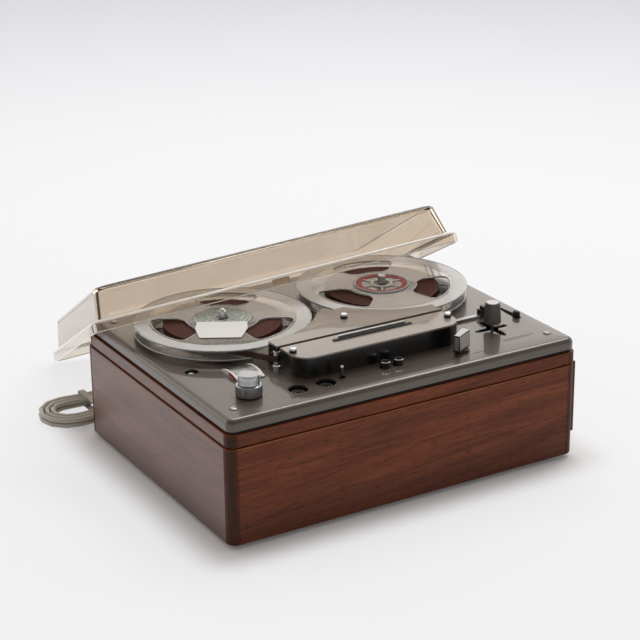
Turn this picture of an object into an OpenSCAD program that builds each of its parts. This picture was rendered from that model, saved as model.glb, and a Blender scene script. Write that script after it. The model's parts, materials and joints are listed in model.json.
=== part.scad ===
// Reel-to-reel tape recorder: veneered cabinet, painted steel deck, clear reels and a smoked lid.
// Millimetres, +X right, +Y back, +Z up. Places are measured from the middle of the deck, and at the end
// everything is moved so that the origin is the middle of the whole, on the table.

/* [Cabinet] */
// Height of the cabinet's lower edge above the table
foot_stand = 4.5; // [3:0.5:8]
// Height of the cabinet from its lower edge to the shadow groove
body_h = 96.8; // [92:0.2:120]
// Thickness of the cabinet walls
wall = 14; // [12:0.5:16]
// How far the body stands back behind the grille
side_in = 3; // [0:0.5:4]
// Radius of the cabinet's upright corners
body_r = 9; // [6:0.5:12]
// How far the body stands out past the upper rim
body_step = 1.5; // [0.5:0.1:3]
// Height of the shadow groove
groove_h = 0.8; // [0.6:0.2:3]
// Depth of the shadow groove behind the rim
groove_in = 2.5; // [1:0.5:4]
// Height of the upper rim
rim_h = 12.6; // [8:0.2:20]
// How far the rim stands out past the deck
rim_step = 1.2; // [0.4:0.1:3]
// Thickness of the bottom cover
base_t = 3; // [2:0.5:5]
// How far the bottom cover lies above the cabinet's lower edge
base_recess = 3.5; // [2:0.5:6]
// Width of the rebate that takes the bottom cover
base_rebate = 4; // [3:0.5:6]
// Radius of a rubber foot
foot_r = 9; // [6:0.5:14]
// Distance from the bottom cover's edge to a foot's centre
foot_inset = 24; // [16:1:60]

/* [Speaker] */
// How far the grille panel stands out of the right side
grille_t = 7; // [5:0.5:8]
// Height of the grille panel
grille_h = 76; // [50:1:78]
// Length of the grille panel
grille_len = 290; // [200:5:296]
// Width of one slot in the grille
slot_w = 3.4; // [2:0.2:5]
// Distance between the slots of the grille
slot_pitch = 9; // [7:0.5:14]
// Radius of the loudspeaker's frame
speaker_r = 30; // [25:1:32]
// Depth of the loudspeaker
speaker_depth = 34; // [24:1:40]
// Place of the loudspeaker along the side
speaker_y = 30; // [-20:1:60]

/* [Deck] */
// Width of the deck plate
deck_w = 389; // [386:1:410]
// Depth of the deck plate
deck_d = 305.6; // [304:0.2:330]
// Height of the deck plate's skirt
deck_h = 11.3; // [9:0.1:14]
// Radius of the deck plate's corners in plan
deck_r = 8; // [6.5:0.5:12]
// Radius of the deck plate's top edge
deck_fillet = 5.5; // [3:0.5:6]
// Thickness of the deck's sheet metal
sheet = 1.6; // [1:0.1:2.4]
// Width of the deck's inner lip
lip = 6; // [4:0.5:10]
// Height of the dark seal under the deck
seal_h = 3; // [2:0.2:5]
// How far the seal lies behind the deck's skirt
seal_in = 2.2; // [1:0.2:3]
// Width of the seal
seal_w = 7; // [5:0.5:8]
// Distance of the deck screws from the deck's sides
screw_in_x = 18; // [16:0.5:30]
// Distance of the deck screws from the deck's front and back
screw_in_y = 24; // [20:0.5:34]
// Radius of a deck screw's head
screw_head_r = 3.4; // [2.5:0.1:5]
// Depth from the deck's top to the chassis plate
chassis_drop = 39; // [38:0.5:40]
// Thickness of the chassis plate
chassis_t = 2; // [1.5:0.1:3]
// Radius of a chassis post
post_r = 4; // [3:0.5:5]

/* [Reels] */
// Diameter of a reel
reel_d = 178; // [170:1:180]
// Distance between the reels' axes
reel_pitch = 188; // [184:0.5:200]
// Distance of the reels' axes behind the tape run
reel_y = 113.3; // [112:0.1:125]
// Height of the reel's lower face above the deck
reel_lift = 2.9; // [2.5:0.1:6]
// Overall thickness of a reel
reel_t = 11; // [10:0.2:14]
// Thickness of a reel's flange
flange_t = 1.5; // [1:0.1:2]
// Diameter of the tape wound on a reel
pack_d = 120; // [80:1:140]
// Diameter of a reel's hub
hub_d = 62; // [50:1:70]
// Wall of a reel's hub
hub_wall = 3; // [2:0.5:5]
// Number of ribs inside a reel's hub
hub_ribs = 12; // [6:1:18]
// Inner radius of a flange window
window_in = 37; // [36:0.5:42]
// Outer radius of a flange window
window_out = 72; // [60:0.5:80]
// Width of the spokes between the windows
spoke_w = 46; // [30:1:50]
// Radius of a window's corners
window_r = 7; // [3:0.5:9]
// Radius of a reel spindle
spindle_r = 3.95; // [3.5:0.05:4.5]
// Height of a spindle's tip above its reel
spindle_tip = 10; // [6:0.5:14]
// Radius of a turntable
table_r = 42; // [30:1:60]
// Thickness of a turntable
table_t = 2; // [1.4:0.1:2.4]

/* [Tape path] */
// Width of the tape
tape_w = 6.25; // [6.25:0.05:6.35]
// Thickness at which the tape's runs are drawn
tape_t = 0.4; // [0.2:0.05:0.6]
// Distance of the straight tape run behind the head cover's front
tape_y = 40.2; // [39:0.1:44]
// Distance of the outer tape guides from the middle
guide_x = 93.5; // [92.5:0.5:94]
// Radius of a tape guide
guide_r = 3; // [2:0.1:3.4]
// Radius of a tape guide's flanges
guide_flange_r = 4.4; // [3.6:0.1:5]
// Radius of the capstan
capstan_r = 3; // [2:0.1:4]
// Place of the capstan to the right of the middle
capstan_x = 64; // [58:0.5:70]
// Radius of the pinch roller
roller_r = 9; // [7:0.5:9.5]
// Distance of the resting pinch roller from the capstan
roller_gap = 5.6; // [5.4:0.1:7]

/* [Head cover] */
// Height of the head cover above the deck
cover_h = 21; // [20:0.5:26]
// Half of the head cover's length
cover_x = 94; // [92:0.5:95]
// Distance of the head cover's front from the deck's front edge
cover_front = 48.3; // [46:0.1:56]
// Distance of the rear cover's crest behind the tape run
cover_crest = 59.3; // [40:0.1:64]
// Clearance between the rear cover and the reels
cover_gap = 5.6; // [3:0.2:7]
// Half the width of the tape slot between the covers
slot_half = 2; // [1.6:0.1:3]
// Wall of the head covers
cover_wall = 2.2; // [1.6:0.1:3]
// Thickness of the covers' top plates
plate_t = 1.8; // [1.2:0.1:2.4]
// Radius of the front cover's front corners
cover_r = 18; // [10:0.5:22]
// How far the front cover's walls flare out towards the deck
cover_draft = 0.2; // [0.1:0.1:2.5]
// Radius of a thumbscrew's head
thumb_r = 3.7; // [3:0.1:5]
// Height of a thumbscrew's head
thumb_h = 6.4; // [4:0.2:9]

/* [Controls] */
// Radius of the upper level knob
knob_r = 10.5; // [9:0.1:12]
// Height of the upper level knob
knob_h = 9.5; // [8:0.5:16]
// Radius of the lower level ring
ring_r = 12.6; // [12.2:0.1:14]
// Height of the lower level ring
ring_h = 10.6; // [8:0.2:14]
// Length of the selector's grip
grip_len = 22; // [16:0.5:28]
// Thickness of the selector's grip
grip_t = 5.6; // [4:0.1:8]
// Height of the selector's grip
grip_h = 15; // [12:0.5:24]
// Angle of the selector's grip from the deck's width
grip_angle = 24; // [0:1:90]
// Lower radius of the joystick's knob
stick_r = 8.6; // [6:0.1:10]
// Upper radius of the joystick's knob
stick_top_r = 7.2; // [5:0.1:9]
// Height of the joystick's knob
stick_h = 22; // [16:0.5:28]
// Length of the joystick's slot across the deck
stick_slot_x = 34; // [24:1:40]
// Length of the joystick's slot along the deck's depth
stick_slot_y = 40; // [24:1:46]
// Travel of the tone slider
slider_travel = 22; // [10:1:26]
// Radius of a record button
button_r = 5; // [3.5:0.1:5.4]
// Height of a record button above the deck
button_h = 6; // [5:0.5:10]
// Radius of a microphone socket's opening in the deck
socket_r = 10; // [8:0.1:11]
// Bore of a microphone socket
socket_bore = 7.2; // [5:0.1:8]
// Depth of a microphone socket
socket_depth = 9.6; // [6:0.2:12]
// Width of the level meter
meter_w = 28.5; // [26:0.5:34]
// Depth of the level meter
meter_d = 36; // [28:0.5:37]
// Height of the level meter's lens above its rim
meter_dome = 3.4; // [2:0.2:5]

/* [Lid] */
// How far the lid stands out past the cabinet's sides
lid_side = 1.6; // [0.5:0.1:3]
// How far the lid stands out past the cabinet's front and back
lid_end = 0.8; // [0.4:0.1:3]
// Height of the lid's rim
lid_rim_h = 12; // [8:0.5:16]
// Width of the ledge above the rim
lid_ledge = 6.6; // [4:0.2:10]
// Height of the lid above the rim
lid_rise = 33.6; // [20:0.2:50]
// How far the lid's walls lean in
lid_draft = 5.4; // [0:0.2:10]
// Wall of the lid
lid_wall = 2.4; // [1.6:0.1:3]
// Radius of the lid's top edge
lid_fillet = 5; // [3:0.5:8]

/* [Mains lead] */
// Diameter of the mains lead
cord_d = 5; // [4:0.1:5.2]
// Number of loops in the hank
hank_loops = 5.75; // [3.75:1:5.75]
// Straight length of the hank's runs
hank_run = 56; // [40:1:80]
// Radius of the hank's tightest fold
hank_r = 15; // [15:0.5:20]
// Step between the hank's loops
hank_step = 6.4; // [6.2:0.1:7]
// Step between the hank's layers
hank_layer = 5.9; // [5.8:0.1:7]
// Share by which the hank is drawn in at its waist
hank_waist = 0.1; // [0:0.01:0.12]

/* [Fits] */
// Radial clearance of a shaft in its bush
run_fit = 0.05; // [0.02:0.01:0.1]
// Gap between pieces that pass each other
gap = 0.4; // [0.3:0.05:0.6]
// Gap round a piece that is let into another
seat = 0.2; // [0.1:0.05:0.3]

/* [Hidden] */
$fn = 64;
smooth = 32;

// Colours
teak = "#6b3d2a";
taupe = "#8d857d";
black = "#1b1b1b";
alu = "#c3c4c4";
chrome = "#dcdfe2";
steel = "#9a9c9d";
clear = [0.85, 0.88, 0.86, 0.35];
smoke = [0.72, 0.66, 0.58, 0.45];
brown_tape = "#4c2a20";
brass = "#b9924c";

// Levels
z_base = foot_stand + base_recess;
z_groove = foot_stand + body_h;
z_rim = z_groove + groove_h;
z_rim_top = z_rim + rim_h;
z_skirt = z_rim_top + seal_h;
z_deck = z_skirt + deck_h;
z_under = z_deck - sheet;
z_chassis = z_deck - chassis_drop - chassis_t;
z_plate = z_chassis + chassis_t;
z_reel = z_deck + reel_lift;
z_reel_top = z_reel + reel_t;
z_tape = z_reel + reel_t / 2;
z_cover = z_deck + cover_h;

// Cabinet sizes
rim_w = deck_w + 2 * rim_step;
rim_d = deck_d + 2 * rim_step;
body_w = rim_w + 2 * body_step;
body_d = rim_d + 2 * body_step;
inner_w = body_w - 2 * wall;
inner_d = body_d - 2 * wall;
inner_r = 3;
base_w = inner_w + 2 * (base_rebate - seat);
base_d = inner_d + 2 * (base_rebate - seat);
grille_z = z_groove - 1.8 - grille_h;
side_x = body_w / 2 - side_in;
speaker_z = z_chassis - speaker_r - 1;
speaker_cone = speaker_r - 5;

// Lines across the deck, from its front edge to the reels
front = -deck_d / 2;
cover_line = front + cover_front;
tape_line = cover_line + tape_y;
crest_line = tape_line + cover_crest;
reel_line = tape_line + reel_y;

// Places on the deck
reel_x = reel_pitch / 2;
meter_at = [-guide_x - 36.5, tape_line + 4.6];
level_at = [meter_at[0] - 19.4, front + 44.8];
trim_at = [-deck_w / 2 + 25, tape_line + 34.1];
sockets_at = [[-cover_x - 10, front + 32.8], [-cover_x + 20, front + 32.8]];
toggle_at = [-cover_x + 39.6, front + 35.8];
buttons_at = [[-6.2, front + 35.8], [8.5, front + 35.4]];
selector_at = [cover_x - 16, front + 30.8];
stick_at = [deck_w / 2 - 56.3, tape_line - 24.7];
slider_at = [deck_w / 2 - 16.5, tape_line - 10.7];
pause_at = [guide_x + 17.5, tape_line + 8.3];
thumbs_at = [[-cover_x + 6, cover_line + 21.5], [cover_x - 6, cover_line + 21.5], [0, crest_line - 25.6]];
posts_at = [for (x = [-1, 1], y = [-1, 1])
    [x * (deck_w / 2 - screw_in_x), y * (deck_d / 2 - screw_in_y)]];

// Rounded rectangle centred on the origin
module rounded_rect(w, d, r) {
    square([w - 2 * r, d], center = true);
    square([w, d - 2 * r], center = true);
    for (x = [-1, 1], y = [-1, 1])
        translate([x * (w / 2 - r), y * (d / 2 - r)]) circle(r);
}

// Upright block with rounded corners, standing on z
module slab(w, d, h, r, z = 0) {
    translate([0, 0, z]) linear_extrude(h) rounded_rect(w, d, r);
}

// Cylinder standing on z at a place of the deck
module peg(at, r, h, z) {
    translate([at[0], at[1], z]) cylinder(r = r, h = h);
}

// Box centred on a place of the deck, standing on z
module block(at, size, z) {
    translate([at[0] - size[0] / 2, at[1] - size[1] / 2, z]) cube(size);
}

// Slot with round ends along X
module slot_x(at, len, w, h, z) {
    block(at, [len - w, w, h], z);
    for (s = [-1, 1]) peg([at[0] + s * (len - w) / 2, at[1]], w / 2, h, z);
}

// Slot with round ends along Y
module slot_y(at, len, w, h, z) {
    block(at, [w, len - w, h], z);
    for (s = [-1, 1]) peg([at[0], at[1] + s * (len - w) / 2], w / 2, h, z);
}

// Points of an arc about a centre
function arc(c, r, a0, a1, n) =
    [for (i = [0 : n]) c + r * [cos(a0 + (a1 - a0) * i / n), sin(a0 + (a1 - a0) * i / n)]];

module cabinet_shell() {
    color(teak) difference() {
        union() {
            translate([-side_in / 2, 0, 0]) slab(body_w - side_in, body_d, body_h, body_r, foot_stand);
            slab(rim_w - 2 * groove_in, rim_d - 2 * groove_in, groove_h, body_r, z_groove);
            slab(rim_w, rim_d, rim_h, body_r, z_rim);
        }
        slab(inner_w, inner_d, z_rim_top, inner_r, 0);
        slab(base_w + 2 * seat, base_d + 2 * seat, z_base + base_t, inner_r, 0);
        translate([body_w / 2 - wall - 1, speaker_y, speaker_z]) rotate([0, 90, 0])
            cylinder(r = speaker_cone, h = wall + 2);
        translate([gland_at[0], inner_d / 2 - 1, gland_at[2]]) rotate([-90, 0, 0])
            cylinder(r = gland_r + seat, h = wall + 2);
    }
}

module bottom_cover() {
    vents = 5;
    vent_step = 12;
    color("#5a4a3c") difference() {
        slab(base_w, base_d, base_t, inner_r, z_base);
        for (s = [-1, 1], i = [0 : vents - 1])
            slot_x([s * inner_w / 4, (i - (vents - 1) / 2) * vent_step], inner_w / 7, 4, base_t + 2, z_base - 1);
    }
}

module rubber_feet() {
    recess_r = foot_r / 3;
    color(black) for (x = [-1, 1], y = [-1, 1])
        translate([x * (base_w / 2 - foot_inset), y * (base_d / 2 - foot_inset), 0]) rotate_extrude()
            polygon([[recess_r, 0], [foot_r - 2, 0], [foot_r - 0.6, 1.2], [foot_r, z_base],
                [0, z_base], [0, z_base / 2], [recess_r, z_base / 2]]);
}

module speaker_grille() {
    frame_edge = 12;
    slots = floor((grille_len - 2 * frame_edge) / slot_pitch);
    color(teak) difference() {
        translate([side_x, -grille_len / 2, grille_z]) cube([grille_t, grille_len, grille_h]);
        for (i = [0 : slots - 1])
            translate([side_x - 1, (i - (slots - 1) / 2) * slot_pitch - slot_w / 2, grille_z + frame_edge])
                cube([grille_t + 2, slot_w, grille_h - 2 * frame_edge]);
    }
}

module loudspeaker() {
    frame_t = 3;
    magnet_r = speaker_r * 0.5;
    magnet_t = 13;
    cone_t = 1.2;
    color(steel) translate([inner_w / 2, speaker_y, speaker_z]) rotate([0, -90, 0]) rotate_extrude()
        polygon([[speaker_cone - cone_t, 0], [speaker_r, 0], [speaker_r, frame_t], [speaker_cone + 1, frame_t],
            [magnet_r, speaker_depth - magnet_t], [magnet_r, speaker_depth], [0, speaker_depth],
            [0, speaker_depth - magnet_t - 2], [magnet_r * 0.6, speaker_depth - magnet_t - 2]]);
}

module deck_seal() {
    out_w = deck_w - 2 * seal_in;
    out_d = deck_d - 2 * seal_in;
    color(black) difference() {
        slab(out_w, out_d, seal_h, deck_r - seal_in, z_rim_top);
        slab(out_w - 2 * seal_w, out_d - 2 * seal_w, seal_h + 2, inner_r, z_rim_top - 1);
    }
}

// Upright puck with a rounded top edge
module puck(r, h, f) {
    rotate_extrude($fn = smooth)
        polygon(concat([[0, 0], [r, 0]], arc([r - f, h - f], f, 0, 90, 5), [[0, h]]));
}

// Block with rounded corners and a rounded top edge
module soft_slab(w, d, h, r, f, z) {
    translate([0, 0, z]) hull() for (x = [-1, 1], y = [-1, 1])
        translate([x * (w / 2 - r), y * (d / 2 - r), 0]) puck(r, h, f);
}

module deck_plate() {
    through = sheet + 2;
    z_cut = z_under - 1;
    stick_hole = 6.5;
    color(taupe) difference() {
        soft_slab(deck_w, deck_d, deck_h, deck_r, deck_fillet, z_skirt);
        slab(deck_w - 2 * sheet, deck_d - 2 * sheet, deck_h - deck_fillet - sheet, deck_r - sheet, z_skirt + sheet);
        slab(deck_w - 4 * sheet, deck_d - 4 * sheet, z_under - z_skirt - sheet, deck_r - 2 * sheet, z_skirt + sheet);
        slab(deck_w - 2 * (sheet + lip), deck_d - 2 * (sheet + lip), 2 * sheet, inner_r, z_skirt - sheet / 2);
        for (s = [-1, 1]) peg([s * reel_x, reel_line], table_hub_r + 3, through, z_cut);
        for (p = posts_at) peg(p, screw_r + seat, through, z_cut);
        for (p = sockets_at) peg(p, socket_r, through, z_cut);
        for (p = buttons_at) peg(p, button_r + gap, through, z_cut);
        peg(level_at, pot_bush_r + seat, through, z_cut);
        peg(selector_at, selector_bush_r + seat, through, z_cut);
        peg(toggle_at, toggle_hole_r, through, z_cut);
        peg(trim_at, trim_r + seat, through, z_cut);
        peg(capstan_at, capstan_r + 3, through, z_cut);
        peg(pause_at, pause_pin_r + run_fit, through, z_cut);
        block(meter_at, [meter_w + 2 * seat, meter_d + 2 * seat, through], z_cut);
        peg(stick_at, stick_hole, through, z_cut);
        slot_x(stick_at, stick_slot_x, stick_slot_w, through, z_cut);
        slot_y(stick_at, stick_slot_y, stick_slot_w, through, z_cut);
        slot_y(slider_at + [0, slider_travel / 2], slider_travel + 8, slider_slot_w, through, z_cut);
    }
}

// Radii of the pieces that pass through the deck
screw_r = 1.9;
table_hub_r = 8;
pot_bush_r = 5.8;
selector_bush_r = 5;
toggle_hole_r = 3.4;
trim_r = 6.8;
pause_pin_r = 2;
stick_slot_w = 4.6;
slider_slot_w = 3.2;

module deck_screws() {
    color(chrome) for (p = posts_at) difference() {
        union() {
            translate([p[0], p[1], z_deck]) rotate_extrude()
                polygon(concat([[0, 0], [screw_head_r, 0]], arc([screw_head_r - 1, 0.2], 1, 0, 90, 4), [[0, 1.3]]));
            peg(p, screw_r, 10 + sheet, z_under - 10);
        }
        block(p, [2 * screw_head_r + 1, 0.8, 1], z_deck + 0.6);
    }
}

bush_r = 7;
chassis_w = inner_w - 3;
chassis_d = inner_d - 3;

module chassis_plate() {
    bay = [92, 70];
    color(steel) difference() {
        union() {
            slab(chassis_w, chassis_d, chassis_t, inner_r, z_chassis);
            for (p = posts_at) peg(p, post_r, z_under - z_plate, z_plate);
            peg([0, deck_d / 2 - screw_in_y], post_r, z_under - z_plate, z_plate);
        }
        for (p = posts_at) peg(p, screw_r + run_fit, 12, z_under - 12);
        for (s = [-1, 1]) peg([s * reel_x, reel_line], bush_r + run_fit, chassis_t + 2, z_chassis - 1);
        peg(capstan_at, bush_r + run_fit, chassis_t + 2, z_chassis - 1);
        block([-reel_x, tape_line - 5.7], [bay[0], bay[1], chassis_t + 2], z_chassis - 1);
        block([0, reel_line], [bay[1], bay[0], chassis_t + 2], z_chassis - 1);
    }
}

crest_r = 6;

// Outline of the rear head cover, scooped to follow both reels and straight along the tape slot
module rear_outline(inset) {
    low = tape_line + slot_half;
    square_end = 10;
    intersection() {
        union() {
            offset(r = crest_r - inset, $fn = 40) offset(delta = -crest_r) rear_sheet(low);
            intersection() {
                offset(delta = -inset) rear_sheet(low);
                for (s = [-1, 1]) translate([s * cover_x - square_end, low - crest_r])
                    square([2 * square_end, crest_line - low]);
            }
        }
        translate([-2 * cover_x, low + inset]) square(4 * cover_x);
    }
}

// Sheet of that cover before its crest is rounded, running past the slot
module rear_sheet(low) {
    difference() {
        translate([-cover_x, low - 3 * crest_r]) square([2 * cover_x, 3 * crest_r + crest_line - low]);
        for (s = [-1, 1]) translate([s * reel_x, reel_line]) circle(reel_d / 2 + cover_gap, $fn = 96);
    }
}

// The front cover is a little shorter than the rear one
front_half = cover_x - 0.8;

// Outline of the front head cover, with swept front corners
module front_outline(inset) {
    r = cover_r - inset;
    back = tape_line - slot_half - inset;
    low = cover_line + inset;
    half = front_half - inset;
    translate([-half, low + r]) square([2 * half, back - low - r]);
    translate([-half + r, low]) square([2 * (half - r), r + 1]);
    for (s = [-1, 1]) translate([s * (half - r), low + r]) circle(r);
}

// Solid under that outline, flaring out towards its foot at the front and sides
module front_block(inset, h) {
    r = cover_r - inset;
    back = tape_line - slot_half - inset;
    half = front_half - inset;
    foot = half + cover_draft;
    edge = 0.2;
    hull() {
        for (s = [-1, 1]) translate([s * (half - r), cover_line + inset + r, 0])
            cylinder(r1 = r + cover_draft, r2 = r, h = h, $fn = 48);
        translate([-foot, back - edge, 0]) cube([2 * foot, edge, edge]);
        translate([-half, back - edge, h - edge]) cube([2 * half, edge, edge]);
    }
}

z_roof = z_cover - plate_t;

module rear_head_cover() {
    color(black) difference() {
        translate([0, 0, z_deck]) linear_extrude(z_roof - z_deck) rear_outline(0);
        translate([0, 0, z_deck - 1]) linear_extrude(z_roof - z_deck + 1 - cover_wall) rear_outline(cover_wall);
        block([0, tape_line + slot_half], [2 * (cover_x - cover_wall), 4 * cover_wall, z_roof - z_deck - cover_wall + 1],
            z_deck - 1);
        for (s = [-1, 1]) peg([s * guide_x, guide_y], guide_flange_r + 0.6, z_roof - z_deck - cover_wall + 1, z_deck - 1);
        thumb_hole(thumbs_at[2]);
    }
}

module rear_cover_plate() {
    color(taupe) difference() {
        translate([0, 0, z_roof]) linear_extrude(plate_t) rear_outline(0);
        thumb_hole(thumbs_at[2]);
    }
}

module front_head_cover() {
    color(black) difference() {
        translate([0, 0, z_deck]) front_block(0, z_roof - z_deck);
        translate([0, 0, z_deck - 1]) front_block(cover_wall, z_roof - z_deck + 1 - cover_wall);
        block([0, tape_line - slot_half], [2 * (front_half - cover_wall), 4 * cover_wall, z_roof - z_deck - cover_wall + 1],
            z_deck - 1);
        for (i = [0, 1]) thumb_hole(thumbs_at[i]);
    }
}

module front_cover_plate() {
    color(taupe) difference() {
        translate([0, 0, z_roof]) linear_extrude(plate_t) front_outline(0.4);
        for (i = [0, 1]) thumb_hole(thumbs_at[i]);
    }
}

thumb_shank_r = 1.5;

module thumb_hole(at) {
    peg(at, thumb_shank_r + seat, plate_t + cover_wall + 2, z_roof - cover_wall - 1);
}

module thumb_screws() {
    dome = thumb_h * 0.3;
    shank = plate_t + cover_wall + 2;
    color(chrome) for (p = thumbs_at) translate([p[0], p[1], z_cover]) {
        rotate_extrude() polygon(concat([[0, -shank], [thumb_shank_r, -shank], [thumb_shank_r, 0], [thumb_r, 0],
            [thumb_r, thumb_h - dome]], arc([thumb_r - dome, thumb_h - dome], dome, 0, 90, 5), [[0, thumb_h]]));
    }
}

// Places along the tape
capstan_at = [capstan_x, tape_line + tape_t / 2 + gap + capstan_r];
roller_at = [capstan_x, capstan_at[1] - capstan_r - roller_gap - roller_r];
arm_at = roller_at + [20, -13.7];
heads_at = [-38, 8];
inner_guides = [-64, 36];
head_nose = 7;
mount_t = 2.5;
z_mount = z_deck + mount_t;
arm_pin_r = 2.5;

module head_mount() {
    margin = 1;
    left = -cover_x + cover_wall + 15;
    color(steel) {
        translate([0, 0, z_deck]) linear_extrude(mount_t) intersection() {
            front_outline(cover_wall + margin);
            translate([left, cover_line]) square([2 * cover_x, tape_y]);
        }
        peg(arm_at, arm_pin_r, 7, z_mount);
    }
}

module tape_heads() {
    head_h = 13;
    body_depth = 12;
    nose_y = tape_line - tape_t / 2 - gap - head_nose;
    color(steel) for (x = heads_at) {
        peg([x, nose_y], head_nose, head_h, z_mount);
        translate([x - head_nose, nose_y - body_depth, z_mount]) cube([2 * head_nose, body_depth, head_h]);
    }
}

// Flanged tape guide on a stem
module tape_guide(at, z_foot) {
    low = z_tape - tape_w / 2 - 0.4;
    high = z_tape + tape_w / 2 + 0.4;
    lip = guide_r + 0.5;
    translate([at[0], at[1], 0]) rotate_extrude() polygon([[0, z_foot], [guide_flange_r, z_foot],
        [guide_flange_r, z_foot + 1.2], [lip, z_foot + 1.8], [lip, low], [guide_r, low], [guide_r, high],
        [lip, high], [lip, high + 3.6], [guide_r, high + 4.2], [0, high + 4.2]]);
}

guide_y = tape_line + tape_t / 2 + 0.1 + guide_r;

module tape_guides() {
    inner_y = tape_line - tape_t / 2 - gap - guide_r;
    color(chrome) {
        for (s = [-1, 1]) tape_guide([s * guide_x, guide_y], z_deck);
        for (x = inner_guides) tape_guide([x, inner_y], z_mount);
    }
}

// Tape from one pack round the outer guide to the middle of the straight run
pack_path_r = pack_d / 2 + gap + tape_t / 2;
guide_path_r = guide_r + 0.1 + tape_t / 2;
reel_to_guide = [-guide_x + reel_x, guide_y - reel_line];
tangent_a = atan2(reel_to_guide[1], reel_to_guide[0])
    - acos((pack_path_r - guide_path_r) / norm(reel_to_guide)) + 360;

module tape_run() {
    wrap = 8;
    half = tape_t / 2;
    guide_c = [-guide_x, guide_y];
    leave = [-reel_x, reel_line] + pack_path_r * [cos(tangent_a), sin(tangent_a)];
    out = half * [cos(tangent_a), sin(tangent_a)];
    outer = concat([leave + out], arc(guide_c, guide_path_r + half, tangent_a, 270, wrap));
    inner = concat(arc(guide_c, guide_path_r - half, 270, tangent_a, wrap), [leave - out]);
    color(brown_tape) translate([0, 0, z_tape - tape_w / 2]) linear_extrude(tape_w)
        polygon(concat(outer, mirrored(outer), mirrored(inner), inner));
}

// The same points on the other side of the middle, in the opposite order
function mirrored(p) = [for (i = [len(p) - 1 : -1 : 0]) [-p[i][0], p[i][1]]];

meter_wall = 1.5;
meter_rim = 0.8;
z_scale = z_deck - 3;
needle_pin_r = 0.9;
needle_at = meter_at + [0, -meter_d / 2 + 5];
needle_rest = 26;

module meter_case() {
    depth = 20;
    color("#e8e4da") difference() {
        block(meter_at, [meter_w, meter_d, depth + z_deck + meter_rim - z_scale], z_scale - depth);
        block(meter_at, [meter_w - 2 * meter_wall, meter_d - 2 * meter_wall, 10], z_scale);
        peg(needle_at, needle_pin_r + run_fit, 3, z_scale - 2);
    }
}

// Lens curved along its depth, flat below
module meter_lens() {
    edge = 0.6;
    curve = (meter_d * meter_d / 4 + meter_dome * meter_dome) / (2 * meter_dome);
    color(clear) intersection() {
        block(meter_at, [meter_w, meter_d, meter_dome + 1], z_deck + meter_rim);
        translate([meter_at[0] - meter_w / 2 - 1, meter_at[1], z_deck + meter_rim + edge + meter_dome - curve])
            rotate([0, 90, 0]) cylinder(r = curve, h = meter_w + 2, $fn = 128);
    }
}

module meter_needle() {
    len = meter_d - 2 * meter_wall - 8;
    color("#b3202a") translate([needle_at[0], needle_at[1], 0]) {
        translate([0, 0, z_scale - 1.6]) cylinder(r = needle_pin_r, h = 2.6);
        translate([0, 0, z_scale + 1]) cylinder(r = 2, h = 0.8);
        rotate([0, 0, needle_rest]) translate([-0.4, 0, z_scale + 1]) cube([0.8, len, 0.8]);
    }
}

module trim_screw() {
    dish_t = 0.9;
    head_r = 3.2;
    depth = 5;
    slot = 0.9;
    color(chrome) difference() {
        translate([trim_at[0], trim_at[1], z_deck]) rotate_extrude() polygon([[0, -depth - 3], [trim_r, -depth - 3],
            [trim_r, 0], [trim_r - dish_t, 0], [trim_r - dish_t - 1, -depth], [head_r, -depth],
            [head_r, -depth + 2], [0, -depth + 2]]);
        block(trim_at, [2 * head_r + 1, slot, 2], z_deck - depth + 1);
    }
}

module mic_sockets() {
    floor_t = 6;
    outer_r = socket_r - seat;
    top = z_deck - 0.4;
    color(black) for (p = sockets_at) difference() {
        peg(p, outer_r, socket_depth + floor_t, top - socket_depth - floor_t);
        peg(p, socket_bore, socket_depth + 1, top - socket_depth);
    }
}

stick_pivot = 11;
z_pivot = z_deck - stick_pivot;
gimbal_r = 12;
gimbal_in = 8;
gimbal_t = 5;
pivot_r = 1.5;
ear_t = 2.4;

module joystick_bracket() {
    ear_w = 12;
    ear_x = gimbal_r + gap;
    color(steel) difference() {
        for (s = [-1, 1]) block(stick_at + [s * (ear_x + ear_t / 2), 0], [ear_t, ear_w, z_under - z_pivot + 5],
            z_pivot - 5);
        translate([stick_at[0], stick_at[1], z_pivot]) rotate([0, 90, 0])
            cylinder(r = pivot_r + run_fit, h = 4 * gimbal_r, center = true);
    }
}

module joystick_gimbal() {
    pin_len = gap + ear_t;
    color(steel) translate([stick_at[0], stick_at[1], z_pivot]) difference() {
        union() {
            difference() {
                translate([0, 0, -gimbal_t / 2]) cylinder(r = gimbal_r, h = gimbal_t);
                translate([0, 0, -gimbal_t]) cylinder(r = gimbal_in, h = 2 * gimbal_t);
            }
            for (s = [-1, 1]) rotate([0, s * 90, 0])
                translate([0, 0, gimbal_r - 0.5]) cylinder(r = pivot_r, h = pin_len + 0.5);
        }
        rotate([90, 0, 0]) cylinder(r = pivot_r + run_fit, h = 4 * gimbal_r, center = true);
    }
}

module joystick_lever() {
    stem_r = 1.6;
    hub_r = 4;
    knob_z = z_deck + 6;
    tail = 12;
    cap_r = stick_top_r - 0.8;
    color(black) translate([stick_at[0], stick_at[1], 0]) {
        translate([0, 0, z_pivot - tail]) cylinder(r = stem_r, h = knob_z - z_pivot + tail);
        translate([0, 0, z_pivot - 3]) cylinder(r = hub_r, h = 6);
        translate([0, 0, z_pivot]) rotate([90, 0, 0]) cylinder(r = pivot_r, h = 2 * gimbal_r - 1, center = true);
        translate([0, 0, knob_z]) rotate_extrude() polygon([[0, 0], [stick_r - 1, 0], [stick_r, 1],
            [stick_top_r, stick_h - 1.4], [cap_r, stick_h], [0, stick_h]]);
    }
}

pot_tube_r = 4;
pot_shaft_r = 2.5;
pot_depth = 17;
pot_bush_top = 1.8;

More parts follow.
